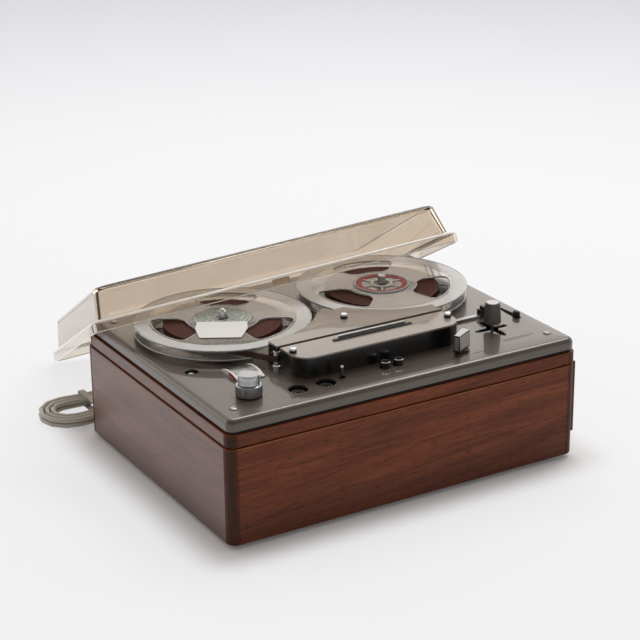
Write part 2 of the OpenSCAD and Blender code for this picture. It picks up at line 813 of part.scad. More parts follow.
module level_pot() {
    can_r = 12.5;
    color(steel) difference() {
        union() {
            peg(level_at, can_r, pot_depth, z_under - pot_depth);
            peg(level_at, pot_bush_r, sheet + pot_bush_top, z_under);
        }
        peg(level_at, pot_tube_r + run_fit, pot_depth + 10, z_under - pot_depth + 2);
    }
}

z_ring = z_deck + 0.8;

module level_ring() {
    hollow_r = pot_bush_r + 1.5;
    hollow_h = pot_bush_top + gap - 0.8;
    knurls = 36;
    color("#8b8c8c") difference() {
        union() {
            translate([level_at[0], level_at[1], 0]) rotate_extrude() polygon([[0, z_under - pot_depth + 4],
                [pot_tube_r, z_under - pot_depth + 4], [pot_tube_r, z_ring + hollow_h], [hollow_r, z_ring + hollow_h],
                [hollow_r, z_ring], [ring_r - 0.8, z_ring], [ring_r, z_ring + 1], [ring_r, z_ring + ring_h - 1],
                [ring_r - 1, z_ring + ring_h], [0, z_ring + ring_h]]);
            translate([level_at[0], level_at[1], z_ring + ring_h * 0.4]) rotate([90, 0, -22])
                cylinder(r = 1.4, h = ring_r + 1.4);
        }
        for (i = [0 : knurls - 1]) if (i * 360 / knurls < 220 || i * 360 / knurls > 280)
            translate([level_at[0], level_at[1], z_ring + 1.2]) rotate([0, 0, i * 360 / knurls])
                translate([ring_r, 0, 0]) cylinder(r = 0.45, h = ring_h - 2.4, $fn = 16);
        peg(level_at, pot_shaft_r + run_fit, pot_depth + ring_h + 10, z_under - pot_depth);
    }
}

module level_knob() {
    z_low = z_ring + ring_h + gap;
    z_foot = z_under - pot_depth + 5;
    color(alu) translate([level_at[0], level_at[1], 0]) rotate_extrude()
        polygon([[0, z_foot], [pot_shaft_r, z_foot], [pot_shaft_r, z_low], [knob_r - 0.6, z_low], [knob_r, z_low + 0.6],
            [knob_r - 0.7, z_low + knob_h - 0.8], [knob_r - 1.4, z_low + knob_h], [0, z_low + knob_h]]);
}

selector_depth = 16;
selector_shaft_r = 3;

module selector_switch() {
    can_r = 13;
    color(steel) difference() {
        union() {
            peg(selector_at, can_r, selector_depth, z_under - selector_depth);
            peg(selector_at, selector_bush_r, sheet + 1, z_under);
        }
        peg(selector_at, selector_shaft_r + run_fit, selector_depth + 10, z_under - selector_depth + 3);
    }
}

module selector_knob() {
    disc_r = grip_len * 0.36;
    disc_t = 3;
    z_disc = z_deck + 1 + gap;
    edge = 1.2;
    color(alu) translate([selector_at[0], selector_at[1], 0]) {
        translate([0, 0, z_under - selector_depth + 4]) cylinder(r = selector_shaft_r, h = z_disc - z_under + selector_depth);
        translate([0, 0, z_disc]) cylinder(r = disc_r, h = disc_t);
        translate([0, 0, z_disc + disc_t]) rotate([0, 0, grip_angle])
            soft_slab(grip_len, grip_t, grip_h, edge + 0.1, edge, 0);
    }
}

slider_tongue = [slider_slot_w - 2 * gap, 5];

module slide_pot() {
    size = [7, slider_travel + 18, z_under - z_skirt - sheet / 2];
    middle = slider_at + [0, slider_travel / 2];
    color(steel) difference() {
        block(middle, size, z_under - size[2]);
        block(middle, [slider_slot_w, slider_travel + 8, size[2]], z_under - size[2] + 2);
    }
}

module tone_slider() {
    cap = [6, 7.5];
    cap_h = 6;
    z_cap = z_deck + gap;
    z_foot = z_skirt + 3.5;
    color(black) {
        block(slider_at, [slider_tongue[0], slider_tongue[1], z_cap - z_foot + 1], z_foot);
        translate([slider_at[0], slider_at[1], 0]) soft_slab(cap[0], cap[1], cap_h, 2.1, 2, z_cap);
    }
}

button_depth = 22;
toggle_drop = 5;
toggle_pin_r = 1;

module button_switches() {
    side = 2 * button_r + 4;
    toggle_side = 2 * toggle_hole_r + 4;
    color(black) {
        for (p = buttons_at) difference() {
            block(p, [side, side, button_depth], z_under - button_depth);
            peg(p, button_r + gap, button_depth, z_under - button_depth + 2);
        }
        difference() {
            block(toggle_at, [toggle_side, toggle_side, button_depth], z_under - button_depth);
            peg(toggle_at, toggle_hole_r + 0.2, button_depth, z_under - button_depth + 4);
            translate([toggle_at[0], toggle_at[1], z_deck - toggle_drop]) rotate([0, 90, 0])
                cylinder(r = toggle_pin_r + run_fit, h = toggle_side + 2, center = true);
        }
    }
}

module toggle_lever() {
    shaft_r = 1.5;
    rise = 12;
    tail = 8;
    pin = 2 * toggle_hole_r + 2;
    color(black) translate([toggle_at[0], toggle_at[1], z_deck - toggle_drop]) {
        rotate([0, 90, 0]) cylinder(r = toggle_pin_r, h = pin, center = true);
        rotate_extrude() polygon([[0, -tail], [shaft_r, -tail], [shaft_r + 0.4, toggle_drop], [shaft_r, toggle_drop + rise - 1],
            [shaft_r - 0.6, toggle_drop + rise], [0, toggle_drop + rise]]);
    }
}

// Round push button with a retaining step below the deck
module push_button(at) {
    edge = 1;
    skirt = 14;
    color(chrome) translate([at[0], at[1], z_deck]) rotate_extrude() polygon([[0, -skirt], [button_r, -skirt],
        [button_r, button_h - edge], [button_r - edge, button_h], [button_r - 2, button_h],
        [button_r - 2.4, button_h - 0.6], [0, button_h - 0.6]]);
}

module record_button_left() {
    push_button(buttons_at[0]);
}

module record_button_right() {
    push_button(buttons_at[1]);
}

module pause_lever() {
    reach = 38;
    blade_w = 6;
    blade_t = 1.6;
    z_blade = z_deck + 1;
    handle = [9, 8];
    handle_h = 12;
    color(chrome) {
        peg(pause_at, pause_pin_r, z_blade - z_under + 9, z_under - 8);
        peg(pause_at, blade_w / 2 + 1, blade_t, z_blade);
        translate([pause_at[0], pause_at[1] - blade_w / 2, z_blade]) cube([reach, blade_w, blade_t]);
    }
    color(black) translate([pause_at[0] + reach, pause_at[1], 0])
        soft_slab(handle[0], handle[1], handle_h, 2.1, 2, z_blade);
}

// Drive train under the chassis
bush_low = 6;
bush_high = 10;
bush_flange_r = 11;
flange_h = 2;

module bush(at, bore) {
    translate([at[0], at[1], 0]) rotate_extrude() polygon([[bore, z_chassis - bush_low], [bush_r, z_chassis - bush_low],
        [bush_r, z_plate], [bush_flange_r, z_plate], [bush_flange_r, z_plate + flange_h],
        [bush_r, z_plate + flange_h], [bush_r, z_plate + bush_high], [bore, z_plate + bush_high]]);
}

module spindle_bushes() {
    color(brass) {
        for (s = [-1, 1]) bush([s * reel_x, reel_line], spindle_r + run_fit);
        bush(capstan_at, capstan_r + run_fit);
    }
}

// Turntable with its drive drum, spindle and three keys
module turntable(side) {
    drum_r = 26;
    drum_h = 10;
    drum_drop = 23;
    collar_r = 6;
    key_r = spindle_r + 1.2;
    key_w = 1.5;
    z_low = z_chassis - bush_low;
    z_hub = z_plate + bush_high + gap;
    z_tip = z_reel_top + spindle_tip;
    z_drum = z_deck - drum_drop;
    color(steel) translate([side * reel_x, reel_line, 0]) {
        rotate_extrude() polygon([[0, z_low - 3], [collar_r, z_low - 3], [collar_r, z_low - gap],
            [spindle_r, z_low - gap], [spindle_r, z_hub], [table_hub_r, z_hub], [table_hub_r, z_drum],
            [drum_r, z_drum], [drum_r, z_drum + drum_h], [table_hub_r, z_drum + drum_h],
            [table_hub_r, z_reel - table_t], [table_r, z_reel - table_t], [table_r, z_reel],
            [spindle_r, z_reel], [spindle_r, z_tip - 3], [spindle_r - 2, z_tip], [0, z_tip]]);
        for (a = [90, 210, 330]) rotate([0, 0, a]) translate([0, -key_w / 2, z_reel])
            cube([key_r, key_w, reel_t + spindle_tip / 2]);
    }
}

module supply_turntable() {
    turntable(-1);
}

module takeup_turntable() {
    turntable(1);
}

// Window in a flange, centred on +X
module window_shape() {
    offset(r = window_r, $fn = 24) offset(delta = -window_r) difference() {
        circle(window_out, $fn = 96);
        circle(window_in, $fn = 64);
        for (a = [60, -60]) rotate(a) translate([0, -spoke_w / 2]) square([2 * window_out, spoke_w]);
        rotate(120) translate([0, -2 * window_out]) square([2 * window_out, 4 * window_out]);
        rotate(-120) translate([0, -2 * window_out]) square([2 * window_out, 4 * window_out]);
    }
}

// Clear reel: two windowed flanges on a hub with three keyways
module reel(side, turn) {
    bore = spindle_r + seat;
    key_w = 2.2;
    boss_r = 14;
    rib_t = 1.2;
    inside = reel_t - 2 * flange_t;
    color(clear) translate([side * reel_x, reel_line, z_reel]) difference() {
        union() {
            for (z = [0, reel_t - flange_t]) translate([0, 0, z]) difference() {
                cylinder(r = reel_d / 2, h = flange_t, $fn = 128);
                for (a = [0, 120, 240]) rotate([0, 0, turn + a])
                    translate([0, 0, -1]) linear_extrude(flange_t + 2) window_shape();
            }
            translate([0, 0, flange_t]) difference() {
                cylinder(r = hub_d / 2, h = inside);
                cylinder(r = hub_d / 2 - hub_wall, h = inside);
            }
            translate([0, 0, flange_t]) cylinder(r = boss_r, h = inside);
            for (i = [0 : hub_ribs - 1]) rotate([0, 0, i * 360 / hub_ribs])
                translate([boss_r - 1, -rib_t / 2, flange_t]) cube([hub_d / 2 - hub_wall - boss_r + 2, rib_t, inside]);
        }
        translate([0, 0, -1]) cylinder(r = bore, h = reel_t + 2);
        for (a = [90, 210, 330]) rotate([0, 0, a]) translate([0, -key_w / 2, -1])
            cube([spindle_r + 1.6, key_w, reel_t + 2]);
    }
}

module supply_reel() {
    reel(-1, 180);
}

module takeup_reel() {
    reel(1, 78);
}

// Tape wound on a hub
module tape_pack(side) {
    color(brown_tape) translate([side * reel_x, reel_line, z_tape - tape_w / 2]) difference() {
        cylinder(r = pack_d / 2, h = tape_w, $fn = 128);
        translate([0, 0, -1]) cylinder(r = hub_d / 2 + 0.05, h = tape_w + 2);
    }
}

module supply_tape() {
    tape_pack(-1);
}

module takeup_tape() {
    tape_pack(1);
}

// Flywheel, belt and motor
wheel_r = 38;
wheel_h = 12;
z_wheel = z_chassis - bush_low - 18;
pulley_r = 9;
motor_r = 30;
motor_h = 36;
motor_gap = 91;
motor_at = capstan_at + [0, motor_gap];
belt_h = 5;
belt_t = 1.2;
z_belt = z_wheel + wheel_h / 2 - belt_h / 2;
z_motor = z_wheel - 4 - motor_h;
motor_shaft_r = 2.5;

module capstan_flywheel() {
    hub_r = 9;
    z_low = z_chassis - bush_low;
    color(steel) translate([capstan_at[0], capstan_at[1], 0]) rotate_extrude() polygon([[0, z_wheel - 2],
        [hub_r, z_wheel - 2], [hub_r, z_wheel + 2], [wheel_r - 8, z_wheel + 2], [wheel_r - 8, z_wheel],
        [wheel_r, z_wheel], [wheel_r, z_wheel + wheel_h], [wheel_r - 8, z_wheel + wheel_h],
        [wheel_r - 8, z_wheel + 6], [hub_r, z_wheel + 6], [hub_r, z_low - gap], [capstan_r, z_low - gap],
        [capstan_r, z_tape + tape_w / 2 + 1], [0, z_tape + tape_w / 2 + 1]]);
}

module motor_pulley() {
    rim = 1;
    color(brass) translate([motor_at[0], motor_at[1], 0]) rotate_extrude() polygon([[0, z_motor + motor_h - 10],
        [motor_shaft_r, z_motor + motor_h - 10], [motor_shaft_r, z_motor + motor_h + gap],
        [pulley_r + rim, z_motor + motor_h + gap], [pulley_r + rim, z_belt - gap], [pulley_r, z_belt - gap],
        [pulley_r, z_belt + belt_h + gap], [pulley_r + rim, z_belt + belt_h + gap],
        [pulley_r + rim, z_belt + belt_h + 2], [0, z_belt + belt_h + 2]]);
}

module belt_loop(grow) {
    hull() {
        translate(capstan_at) circle(wheel_r + grow, $fn = 72);
        translate(motor_at) circle(pulley_r + grow, $fn = smooth);
    }
}

module drive_belt() {
    color(black) translate([0, 0, z_belt]) linear_extrude(belt_h) difference() {
        belt_loop(gap + belt_t);
        belt_loop(gap);
    }
}

module motor() {
    stand_r = 3;
    stand_ring = motor_r - stand_r;
    color(steel) difference() {
        union() {
            peg(motor_at, motor_r, motor_h, z_motor);
            for (a = [30, 150, 270]) peg(motor_at + stand_ring * [cos(a + 60), sin(a + 60)], stand_r,
                z_chassis - z_motor - motor_h, z_motor + motor_h);
        }
        peg(motor_at, motor_shaft_r + run_fit, 14, z_motor + motor_h - 12);
    }
}

core_w = 58;

module power_transformer() {
    at = [-inner_w * 0.305, inner_d / 4];
    core = [core_w, core_w * 0.45, core_w * 0.8];
    coil = [core_w * 0.65, core_w * 0.8, core_w * 0.52];
    foot_size = [core_w * 1.24, core_w * 0.45, 2];
    z_low = z_base + base_t;
    color("#6a6258") union() {
        block(at, core, z_low);
        block(at, foot_size, z_low);
        block(at, coil, z_low + 8);
    }
}

module amplifier_board() {
    at = [-inner_w / 4, -inner_d / 4];
    board = [150, 90, 1.6];
    stand = 10;
    z_low = z_base + base_t;
    z_top = z_low + stand + board[2];
    caps = 6;
    color("#3f6b43") union() {
        block(at, board, z_low + stand);
        for (x = [-1, 1], y = [-1, 1]) peg(at + [x * (board[0] / 2 - 6), y * (board[1] / 2 - 6)], 3, stand, z_low);
        for (i = [0 : caps - 1]) peg(at + [(i - (caps - 1) / 2) * 22, 24], 6, 18, z_top);
        for (i = [0 : caps - 1]) peg(at + [(i - (caps - 1) / 2) * 22, -4], 4, 7, z_top);
        block(at + [0, -30], [60, 14, 16], z_top);
    }
}

arm_t = 1.8;
roller_pin_r = 1.5;
z_arm = z_mount + gap;
z_roller = z_tape - tape_w / 2;

module pinch_arm() {
    boss_r = 4.6;
    reach = norm(arm_at - roller_at);
    angle = atan2(roller_at[1] - arm_at[1], roller_at[0] - arm_at[0]);
    color(steel) difference() {
        union() {
            peg(arm_at, boss_r, 6, z_arm);
            peg(roller_at, boss_r, arm_t, z_arm);
            peg(roller_at, roller_pin_r, z_roller + tape_w - z_arm, z_arm);
            translate([arm_at[0], arm_at[1], z_arm]) rotate([0, 0, angle])
                translate([0, -boss_r * 0.7, 0]) cube([reach, boss_r * 1.4, arm_t]);
        }
        peg(arm_at, arm_pin_r + run_fit, 10, z_arm - 1);
    }
}

module pinch_roller() {
    color(black) difference() {
        peg(roller_at, roller_r, tape_w, z_roller);
        peg(roller_at, roller_pin_r + run_fit, tape_w + 2, z_roller - 1);
    }
}

// Mains lead: gland, free stretch, hank with its tie, and plug
gland_r = 5;
gland_at = [-40, body_d / 2, 20];
gland_out = 24;
tie_t = 0.8;
cord_z = cord_d / 2 + tie_t + 0.2;
hank_at = [-172, body_d / 2 + 50.5];
hank_outer = hank_r + hank_step * hank_loops / 2;
rings = 24;
joint_gap = 0.3;

module cord_gland() {
    flange = 2.5;
    cord_r = cord_d / 2 + 0.1;
    color(black) translate([gland_at[0], inner_d / 2 + 2, gland_at[2]]) rotate([-90, 0, 0]) rotate_extrude()
        polygon([[cord_r, 0], [gland_r, 0], [gland_r, wall - 2], [gland_r + 3, wall - 2],
            [gland_r + 3, wall - 2 + flange], [gland_r, wall - 2 + flange],
            [cord_r + 1.2, wall - 2 + gland_out], [cord_r, wall - 2 + gland_out]]);
}

// Route of the free stretch: out of the gland, down to the table and back to the hank
free_end = [hank_at[0] + hank_run / 2, hank_at[1] + hank_outer];
route = [
    [gland_at[0], gland_at[1] + gland_out - 6, gland_at[2]],
    [gland_at[0], gland_at[1] + gland_out + 1, gland_at[2]],
    [gland_at[0] - 0.5, gland_at[1] + gland_out + 10, gland_at[2] - 1.2],
    [gland_at[0] - 3, gland_at[1] + 46, 16],
    [gland_at[0] - 12, gland_at[1] + 62, 11],
    [gland_at[0] - 28, gland_at[1] + 74, 6.5],
    [gland_at[0] - 50, free_end[1] + 1, 3.6],
    [gland_at[0] - 72, free_end[1] + 1.5, cord_z],
    [free_end[0] + 12, free_end[1] + 0.3, cord_z],
    [free_end[0] + joint_gap, free_end[1], cord_z]
];

// Smooth curve through a list of points
function spline_at(p, i, t) =
    let (a = p[max(i - 1, 0)], b = p[i], c = p[i + 1], d = p[min(i + 2, len(p) - 1)])
    0.5 * ((2 * b) + (c - a) * t + (2 * a - 5 * b + 4 * c - d) * t * t + (3 * b - a - 3 * c + d) * t * t * t);
function spline(p, n) =
    concat([for (i = [0 : len(p) - 2], k = [0 : n - 1]) spline_at(p, i, k / n)], [p[len(p) - 1]]);
function unit(v) = v / norm(v);
function tangent(p, i) = unit(p[min(i + 1, len(p) - 1)] - p[max(i - 1, 0)]);

// Round tube along a path, as one closed solid
module tube(path, d, sides) {
    n = len(path);
    points = [for (i = [0 : n - 1])
        let (t = tangent(path, i), s = unit(cross(t, [0, 0, 1])), u = cross(s, t))
        for (k = [0 : sides - 1]) path[i] + d / 2 * (cos(360 * (k + 0.5) / sides) * s + sin(360 * (k + 0.5) / sides) * u)];
    skin = [for (i = [0 : n - 2], k = [0 : sides - 1])
        let (a = i * sides + k, b = i * sides + (k + 1) % sides)
        each [[a, a + sides, b], [b, a + sides, b + sides]]];
    caps = [for (k = [1 : sides - 2]) each [[0, k, k + 1], [(n - 1) * sides, (n - 1) * sides + k + 1, (n - 1) * sides + k]]];
    polyhedron(points, concat(skin, caps), convexity = 10);
}

// One point of the hank at a count of loops from its start on the rear run
function hank_point(t) =
    let (half = hank_loops / 2, r = hank_r + hank_step * abs(half - t), u = t - floor(t),
        part = floor(u * 4), v = u * 4 - part, l = hank_run / 2,
        x = part == 0 ? l - 2 * l * v : part == 1 ? -l - r * sin(180 * v)
            : part == 2 ? -l + 2 * l * v : l + r * sin(180 * v),
        y = part == 0 ? r : part == 1 ? r * cos(180 * v) : part == 2 ? -r : -r * cos(180 * v),
        w = 1 - hank_waist * exp(-x * x / 250),
        climb = min(max((t - half) * 2 + 0.5, 0), 1))
    [hank_at[0] + x, hank_at[1] + y * w, cord_z + hank_layer * climb * climb * (3 - 2 * climb)];
hank_count = floor(hank_loops * rings);
hank_tail = 24;
hank_loop = [for (i = [0 : hank_count]) hank_point(i / rings)];
hank_end = hank_loop[hank_count] + [hank_tail, 0, 0];
hank_path = concat(hank_loop, [for (i = [1 : 3]) hank_loop[hank_count] + [hank_tail * i / 3, 0, 0]]);

// Least gap of the hank to itself, measured a third of a loop or more along it
hank_gap = min([for (i = [0 : len(hank_path) - 1], j = [i + 8 : 1 : len(hank_path) - 1])
    norm(hank_path[i] - hank_path[j])]) - cord_d;
echo(hank_gap = hank_gap);

module mains_cord() {
    color("#9b9a96") tube(spline(route, 3), cord_d, 8);
}

module cord_hank() {
    color("#9b9a96") tube(hank_path, cord_d, 6);
}

module cord_tie() {
    band_w = 7;
    clear_r = 0.2;
    reach = hank_outer * (1 - hank_waist) + cord_d / 2 + 2 * gap;
    high = cord_z + hank_layer + cord_d / 2 + clear_r;
    color("#77756f") translate([hank_at[0] - band_w / 2, hank_at[1], 0]) rotate([90, 0, 90]) linear_extrude(band_w)
        difference() {
            translate([-reach - tie_t, 0]) square([2 * (reach + tie_t), high + tie_t]);
            translate([-reach, tie_t]) square([2 * reach, high - tie_t]);
        }
}

module mains_plug() {
    body = [34, 30];
    thick = 2 * (hank_end[2] - 0.4);
    neck = 12;
    pin_r = 2;
    pin_len = 19;
    pin_gap = 18.6;
    start = hank_end[0];
    color("#9b9a96") translate([start, hank_end[1], hank_end[2]]) {
        rotate([0, 90, 0]) cylinder(r1 = cord_d / 2 + 0.6, r2 = cord_d / 2 + 2.4, h = neck);
        translate([neck + body[0] / 2 - 0.5, 0, -thick / 2]) linear_extrude(thick) rounded_rect(body[0], body[1], 5);
    }
    color(brass) translate([start + neck + body[0] - 1, hank_end[1], hank_end[2]])
        for (s = [-1, 1]) translate([0, s * pin_gap / 2, 0]) rotate([0, 90, 0]) cylinder(r = pin_r, h = pin_len);
}

// Lid, leaning askew behind the recorder
lid_w = body_w + 2 * lid_side;
lid_d = body_d + 2 * lid_end;
lid_r = body_r + 1;

// The lid rests on the table by its rear left corner, over the left reel by its front rim and over the
// deck's right edge by its right rim. The rises of the rim per length and per width follow from these.
lid_turn = -9.8;
lid_shift = 8.6;
lid_behind = 33.8;
lid_over = 42.2;
lid_ahead = 27.8;
rest_gap = 0.8;
rest_reel = z_reel_top + 2.4 - rest_gap;
rest_deck = z_deck - 1.2 - rest_gap;
rest_d = lid_d / 2 + lid_ahead;
rest_w = lid_w - lid_wall;
rest_det = lid_d * rest_w - lid_over * rest_d;
rise_d = (rest_reel * rest_w - rest_deck * lid_over) / rest_det;
rise_w = (lid_d * rest_deck - rest_d * rest_reel) / rest_det;
lid_roll = -asin(rise_w);
lid_pitch = -asin(rise_d / cos(lid_roll));
lid_tilt = [lid_pitch, lid_roll, lid_turn];
lid_at = [lid_shift, deck_d / 2 + lid_behind, rest_gap + rise_w * lid_w / 2 + rise_d * lid_d / 2];
echo(lid_tilt = lid_tilt, lid_at = lid_at);

// Middle of the whole recorder with its lid, on the table
lid_back = lid_at[1] + lid_d / 2 * (cos(lid_turn) * cos(lid_pitch) + sin(lid_turn) * sin(lid_roll) * sin(lid_pitch))
    - lid_w / 2 * sin(lid_turn) * cos(lid_roll) + lid_rim_h * (-cos(lid_turn) * sin(lid_pitch));
middle = [lid_shift, (lid_back - body_d / 2) / 2, 0];
echo(middle = middle);

// Drafted upper part of the lid, narrower at the top
module lid_bowl(inset, top) {
    low = lid_ledge + inset;
    lean = low + lid_draft;
    r = lid_r;
    hull() {
        slab(lid_w - 2 * low, lid_d - 2 * low, 1, r, lid_rim_h - lid_wall);
        soft_slab(lid_w - 2 * lean, lid_d - 2 * lean, 2 * lid_fillet, r, lid_fillet, top - 2 * lid_fillet);
    }
}

module lid_cover() {
    top = lid_rim_h + lid_rise;
    catch = [18, 3, 7];
    color(smoke) translate(lid_at) rotate(lid_tilt) {
        difference() {
            union() {
                slab(lid_w, lid_d, lid_rim_h, lid_r);
                lid_bowl(0, top);
            }
            slab(lid_w - 2 * lid_wall, lid_d - 2 * lid_wall, lid_rim_h - lid_wall + 1, lid_r - lid_wall, -1);
            lid_bowl(lid_wall, top - lid_wall);
        }
        translate([-catch[0] / 2, -lid_d / 2 + lid_wall - 0.5, 1.5]) cube(catch);
    }
}

// Moves a node so that the origin is the middle of the whole
module placed() {
    translate(-middle) children();
}

placed() cabinet_shell();
placed() bottom_cover();
placed() rubber_feet();
placed() speaker_grille();
placed() loudspeaker();
placed() deck_seal();
placed() deck_plate();
placed() chassis_plate();
placed() deck_screws();
placed() rear_head_cover();
placed() rear_cover_plate();
placed() front_head_cover();
placed() front_cover_plate();
placed() thumb_screws();
placed() head_mount();
placed() tape_heads();
placed() tape_guides();
placed() tape_run();
placed() meter_case();
placed() meter_lens();
placed() trim_screw();
placed() mic_sockets();
placed() joystick_bracket();
placed() level_pot();
placed() selector_switch();
placed() slide_pot();
placed() button_switches();
placed() motor();
placed() power_transformer();
placed() amplifier_board();
placed() drive_belt();
placed() spindle_bushes();
placed() cord_gland();
placed() mains_cord();
placed() cord_hank();
placed() cord_tie();
placed() mains_plug();
placed() supply_turntable();
placed() supply_reel();
placed() supply_tape();
placed() takeup_turntable();
placed() takeup_reel();
placed() takeup_tape();
placed() capstan_flywheel();
placed() motor_pulley();
placed() pinch_arm();
placed() pinch_roller();
placed() level_knob();
placed() level_ring();
placed() joystick_gimbal();
placed() joystick_lever();
placed() selector_knob();
placed() tone_slider();
placed() toggle_lever();
placed() record_button_left();
placed() record_button_right();
placed() meter_needle();
placed() pause_lever();
placed() lid_cover();
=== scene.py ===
"""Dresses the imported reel-to-reel tape recorder: veneered cabinet, enamelled deck, clear reels and smoked lid.

Places are millimetres from the middle of the deck on the table, +X right, +Y back, +Z up, as in the part's
source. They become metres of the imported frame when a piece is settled.
"""
from __future__ import annotations

import json
import logging
import math
import random
from collections.abc import Sequence
from dataclasses import dataclass
from enum import Enum

import bmesh
import bpy
from mathutils import Euler, Matrix, Vector

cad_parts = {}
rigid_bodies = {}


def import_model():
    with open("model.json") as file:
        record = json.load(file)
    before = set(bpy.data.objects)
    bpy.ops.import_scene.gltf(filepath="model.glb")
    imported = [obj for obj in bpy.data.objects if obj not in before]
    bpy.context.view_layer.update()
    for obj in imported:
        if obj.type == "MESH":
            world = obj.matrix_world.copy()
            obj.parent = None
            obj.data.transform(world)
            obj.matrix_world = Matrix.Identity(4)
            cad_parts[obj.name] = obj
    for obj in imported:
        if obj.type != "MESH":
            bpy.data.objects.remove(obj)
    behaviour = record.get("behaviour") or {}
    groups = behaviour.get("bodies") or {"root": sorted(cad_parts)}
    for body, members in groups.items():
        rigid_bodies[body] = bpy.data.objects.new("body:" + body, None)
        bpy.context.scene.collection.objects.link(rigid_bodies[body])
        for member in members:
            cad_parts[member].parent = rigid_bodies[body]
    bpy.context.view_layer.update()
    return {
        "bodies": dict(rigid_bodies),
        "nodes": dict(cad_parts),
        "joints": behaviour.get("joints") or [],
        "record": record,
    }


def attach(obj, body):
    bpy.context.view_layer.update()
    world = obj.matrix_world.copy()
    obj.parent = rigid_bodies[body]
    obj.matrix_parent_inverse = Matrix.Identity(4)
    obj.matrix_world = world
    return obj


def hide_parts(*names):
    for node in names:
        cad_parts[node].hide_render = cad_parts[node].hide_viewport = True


LOG = logging.getLogger("recorder")
Pair = tuple[float, float]
Triple = tuple[float, float, float]
FRAME: dict = {}

# A millimetre in metres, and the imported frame's origin in deck millimetres.
MM = 0.001
MIDDLE = Vector((8.6, 103.12, 0.0))
# Heights of the deck's face, the head cover's top, and the reels' lower and upper face.
Z_DECK = 129.0
Z_COVER = 150.0
Z_REEL = 131.9
Z_REEL_TOP = 142.9
# Axes that more than one class needs: the right reel, which the left one mirrors, the level knobs and the joystick.
REEL_AXIS: Pair = (94.0, 49.0)
LEVEL_AXIS: Pair = (-149.4, -108.0)
STICK_AXIS: Pair = (138.2, -89.0)
ORIGIN: Triple = (0.0, 0.0, 0.0)
# Corners of a rectangle, anticlockwise from the back left, and the turns of a quarter circle in radians.
QUADRANTS = ((-1, 1), (-1, -1), (1, -1), (1, 1))
QUARTER = [math.radians(90 * i / 8) for i in range(9)]
# Sockets of a colour mix: its share, its two colours and its result.
MIX_SHARE, MIX_FIRST, MIX_SECOND, MIX_RESULT = 0, 6, 7, 2
# Degrees by which the veneer's grain leans off the cabinet's edges.
GRAIN_LEAN = -3.0
# Width and length of a pore in grains of the wood, the noise between which it opens, and its depth of colour.
PORE: Pair = (0.42, 6.5)
PORE_CUT: Pair = (0.575, 0.68)
PORE_DEPTH = 0.85
# Height in metres from which the painted shade at the wood's foot fades upwards, and its share there.
FOOT_SHADE_FROM = 0.004
FOOT_SHADE = 0.5


def metres(point: Sequence[float]) -> Vector:
    """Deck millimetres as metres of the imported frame."""
    return (Vector(point) - MIDDLE) * MM


def srgb(code: str) -> tuple[float, float, float, float]:
    """Turn an sRGB hex colour into linear values.

    Args:
        code: Six hex digits with a leading hash.

    Returns:
        Linear red, green, blue and a full alpha.
    """
    parts = [int(code[i:i + 2], 16) / 255 for i in (1, 3, 5)]
    linear = [p / 12.92 if p <= 0.04045 else ((p + 0.055) / 1.055) ** 2.4 for p in parts]
    return (*linear, 1.0)


def add(tree: bpy.types.NodeTree, kind: str, inputs: dict | None = None, **settings: object) -> bpy.types.Node:
    """Add a node with its settings, its constants and its links.

    Args:
        tree: Tree that gets the node.
        kind: Blender's type name of the node.
        inputs: Input name or index to a constant or to an output socket.
        **settings: Attributes of the node.

    Returns:
        The new node.
    """
    node = tree.nodes.new(kind)
    for key, value in settings.items():
        setattr(node, key, value)
    for key, value in (inputs or {}).items():
        if isinstance(value, bpy.types.NodeSocket):
            tree.links.new(value, node.inputs[key])
        else:
            node.inputs[key].default_value = value
    return node


class Pattern(Enum):
    """How a surface was made, which decides what its nodes draw."""

    VENEER = "sliced wood with its grain along the piece"
    FLAKE = "sprayed enamel with metal flakes"
    MOULDED = "moulded or pressed, with a fine even grit"
    TURNED = "turned on a lathe, with rings about its axis"
    BRUSHED = "brushed or rolled along one direction"
    WOUND = "layers wound about an axis"
    WOVEN = "threads crossing at right angles"
    POLISHED = "polished or plated, with faint smears"
    CRAZED = "clear plastic moulded with a crackled face"


# Values between which a pattern's noise runs from dark to light; the patterns left out are drawn as they come.
CUTS: dict[Pattern, Pair] = {
    Pattern.VENEER: (0.64, 1.34), Pattern.FLAKE: (0.35, 0.65), Pattern.MOULDED: (0.25, 0.75),
    Pattern.TURNED: (0.3, 0.7), Pattern.WOUND: (0.3, 0.7), Pattern.POLISHED: (0.25, 0.75), Pattern.CRAZED: (0.0, 0.22),
}


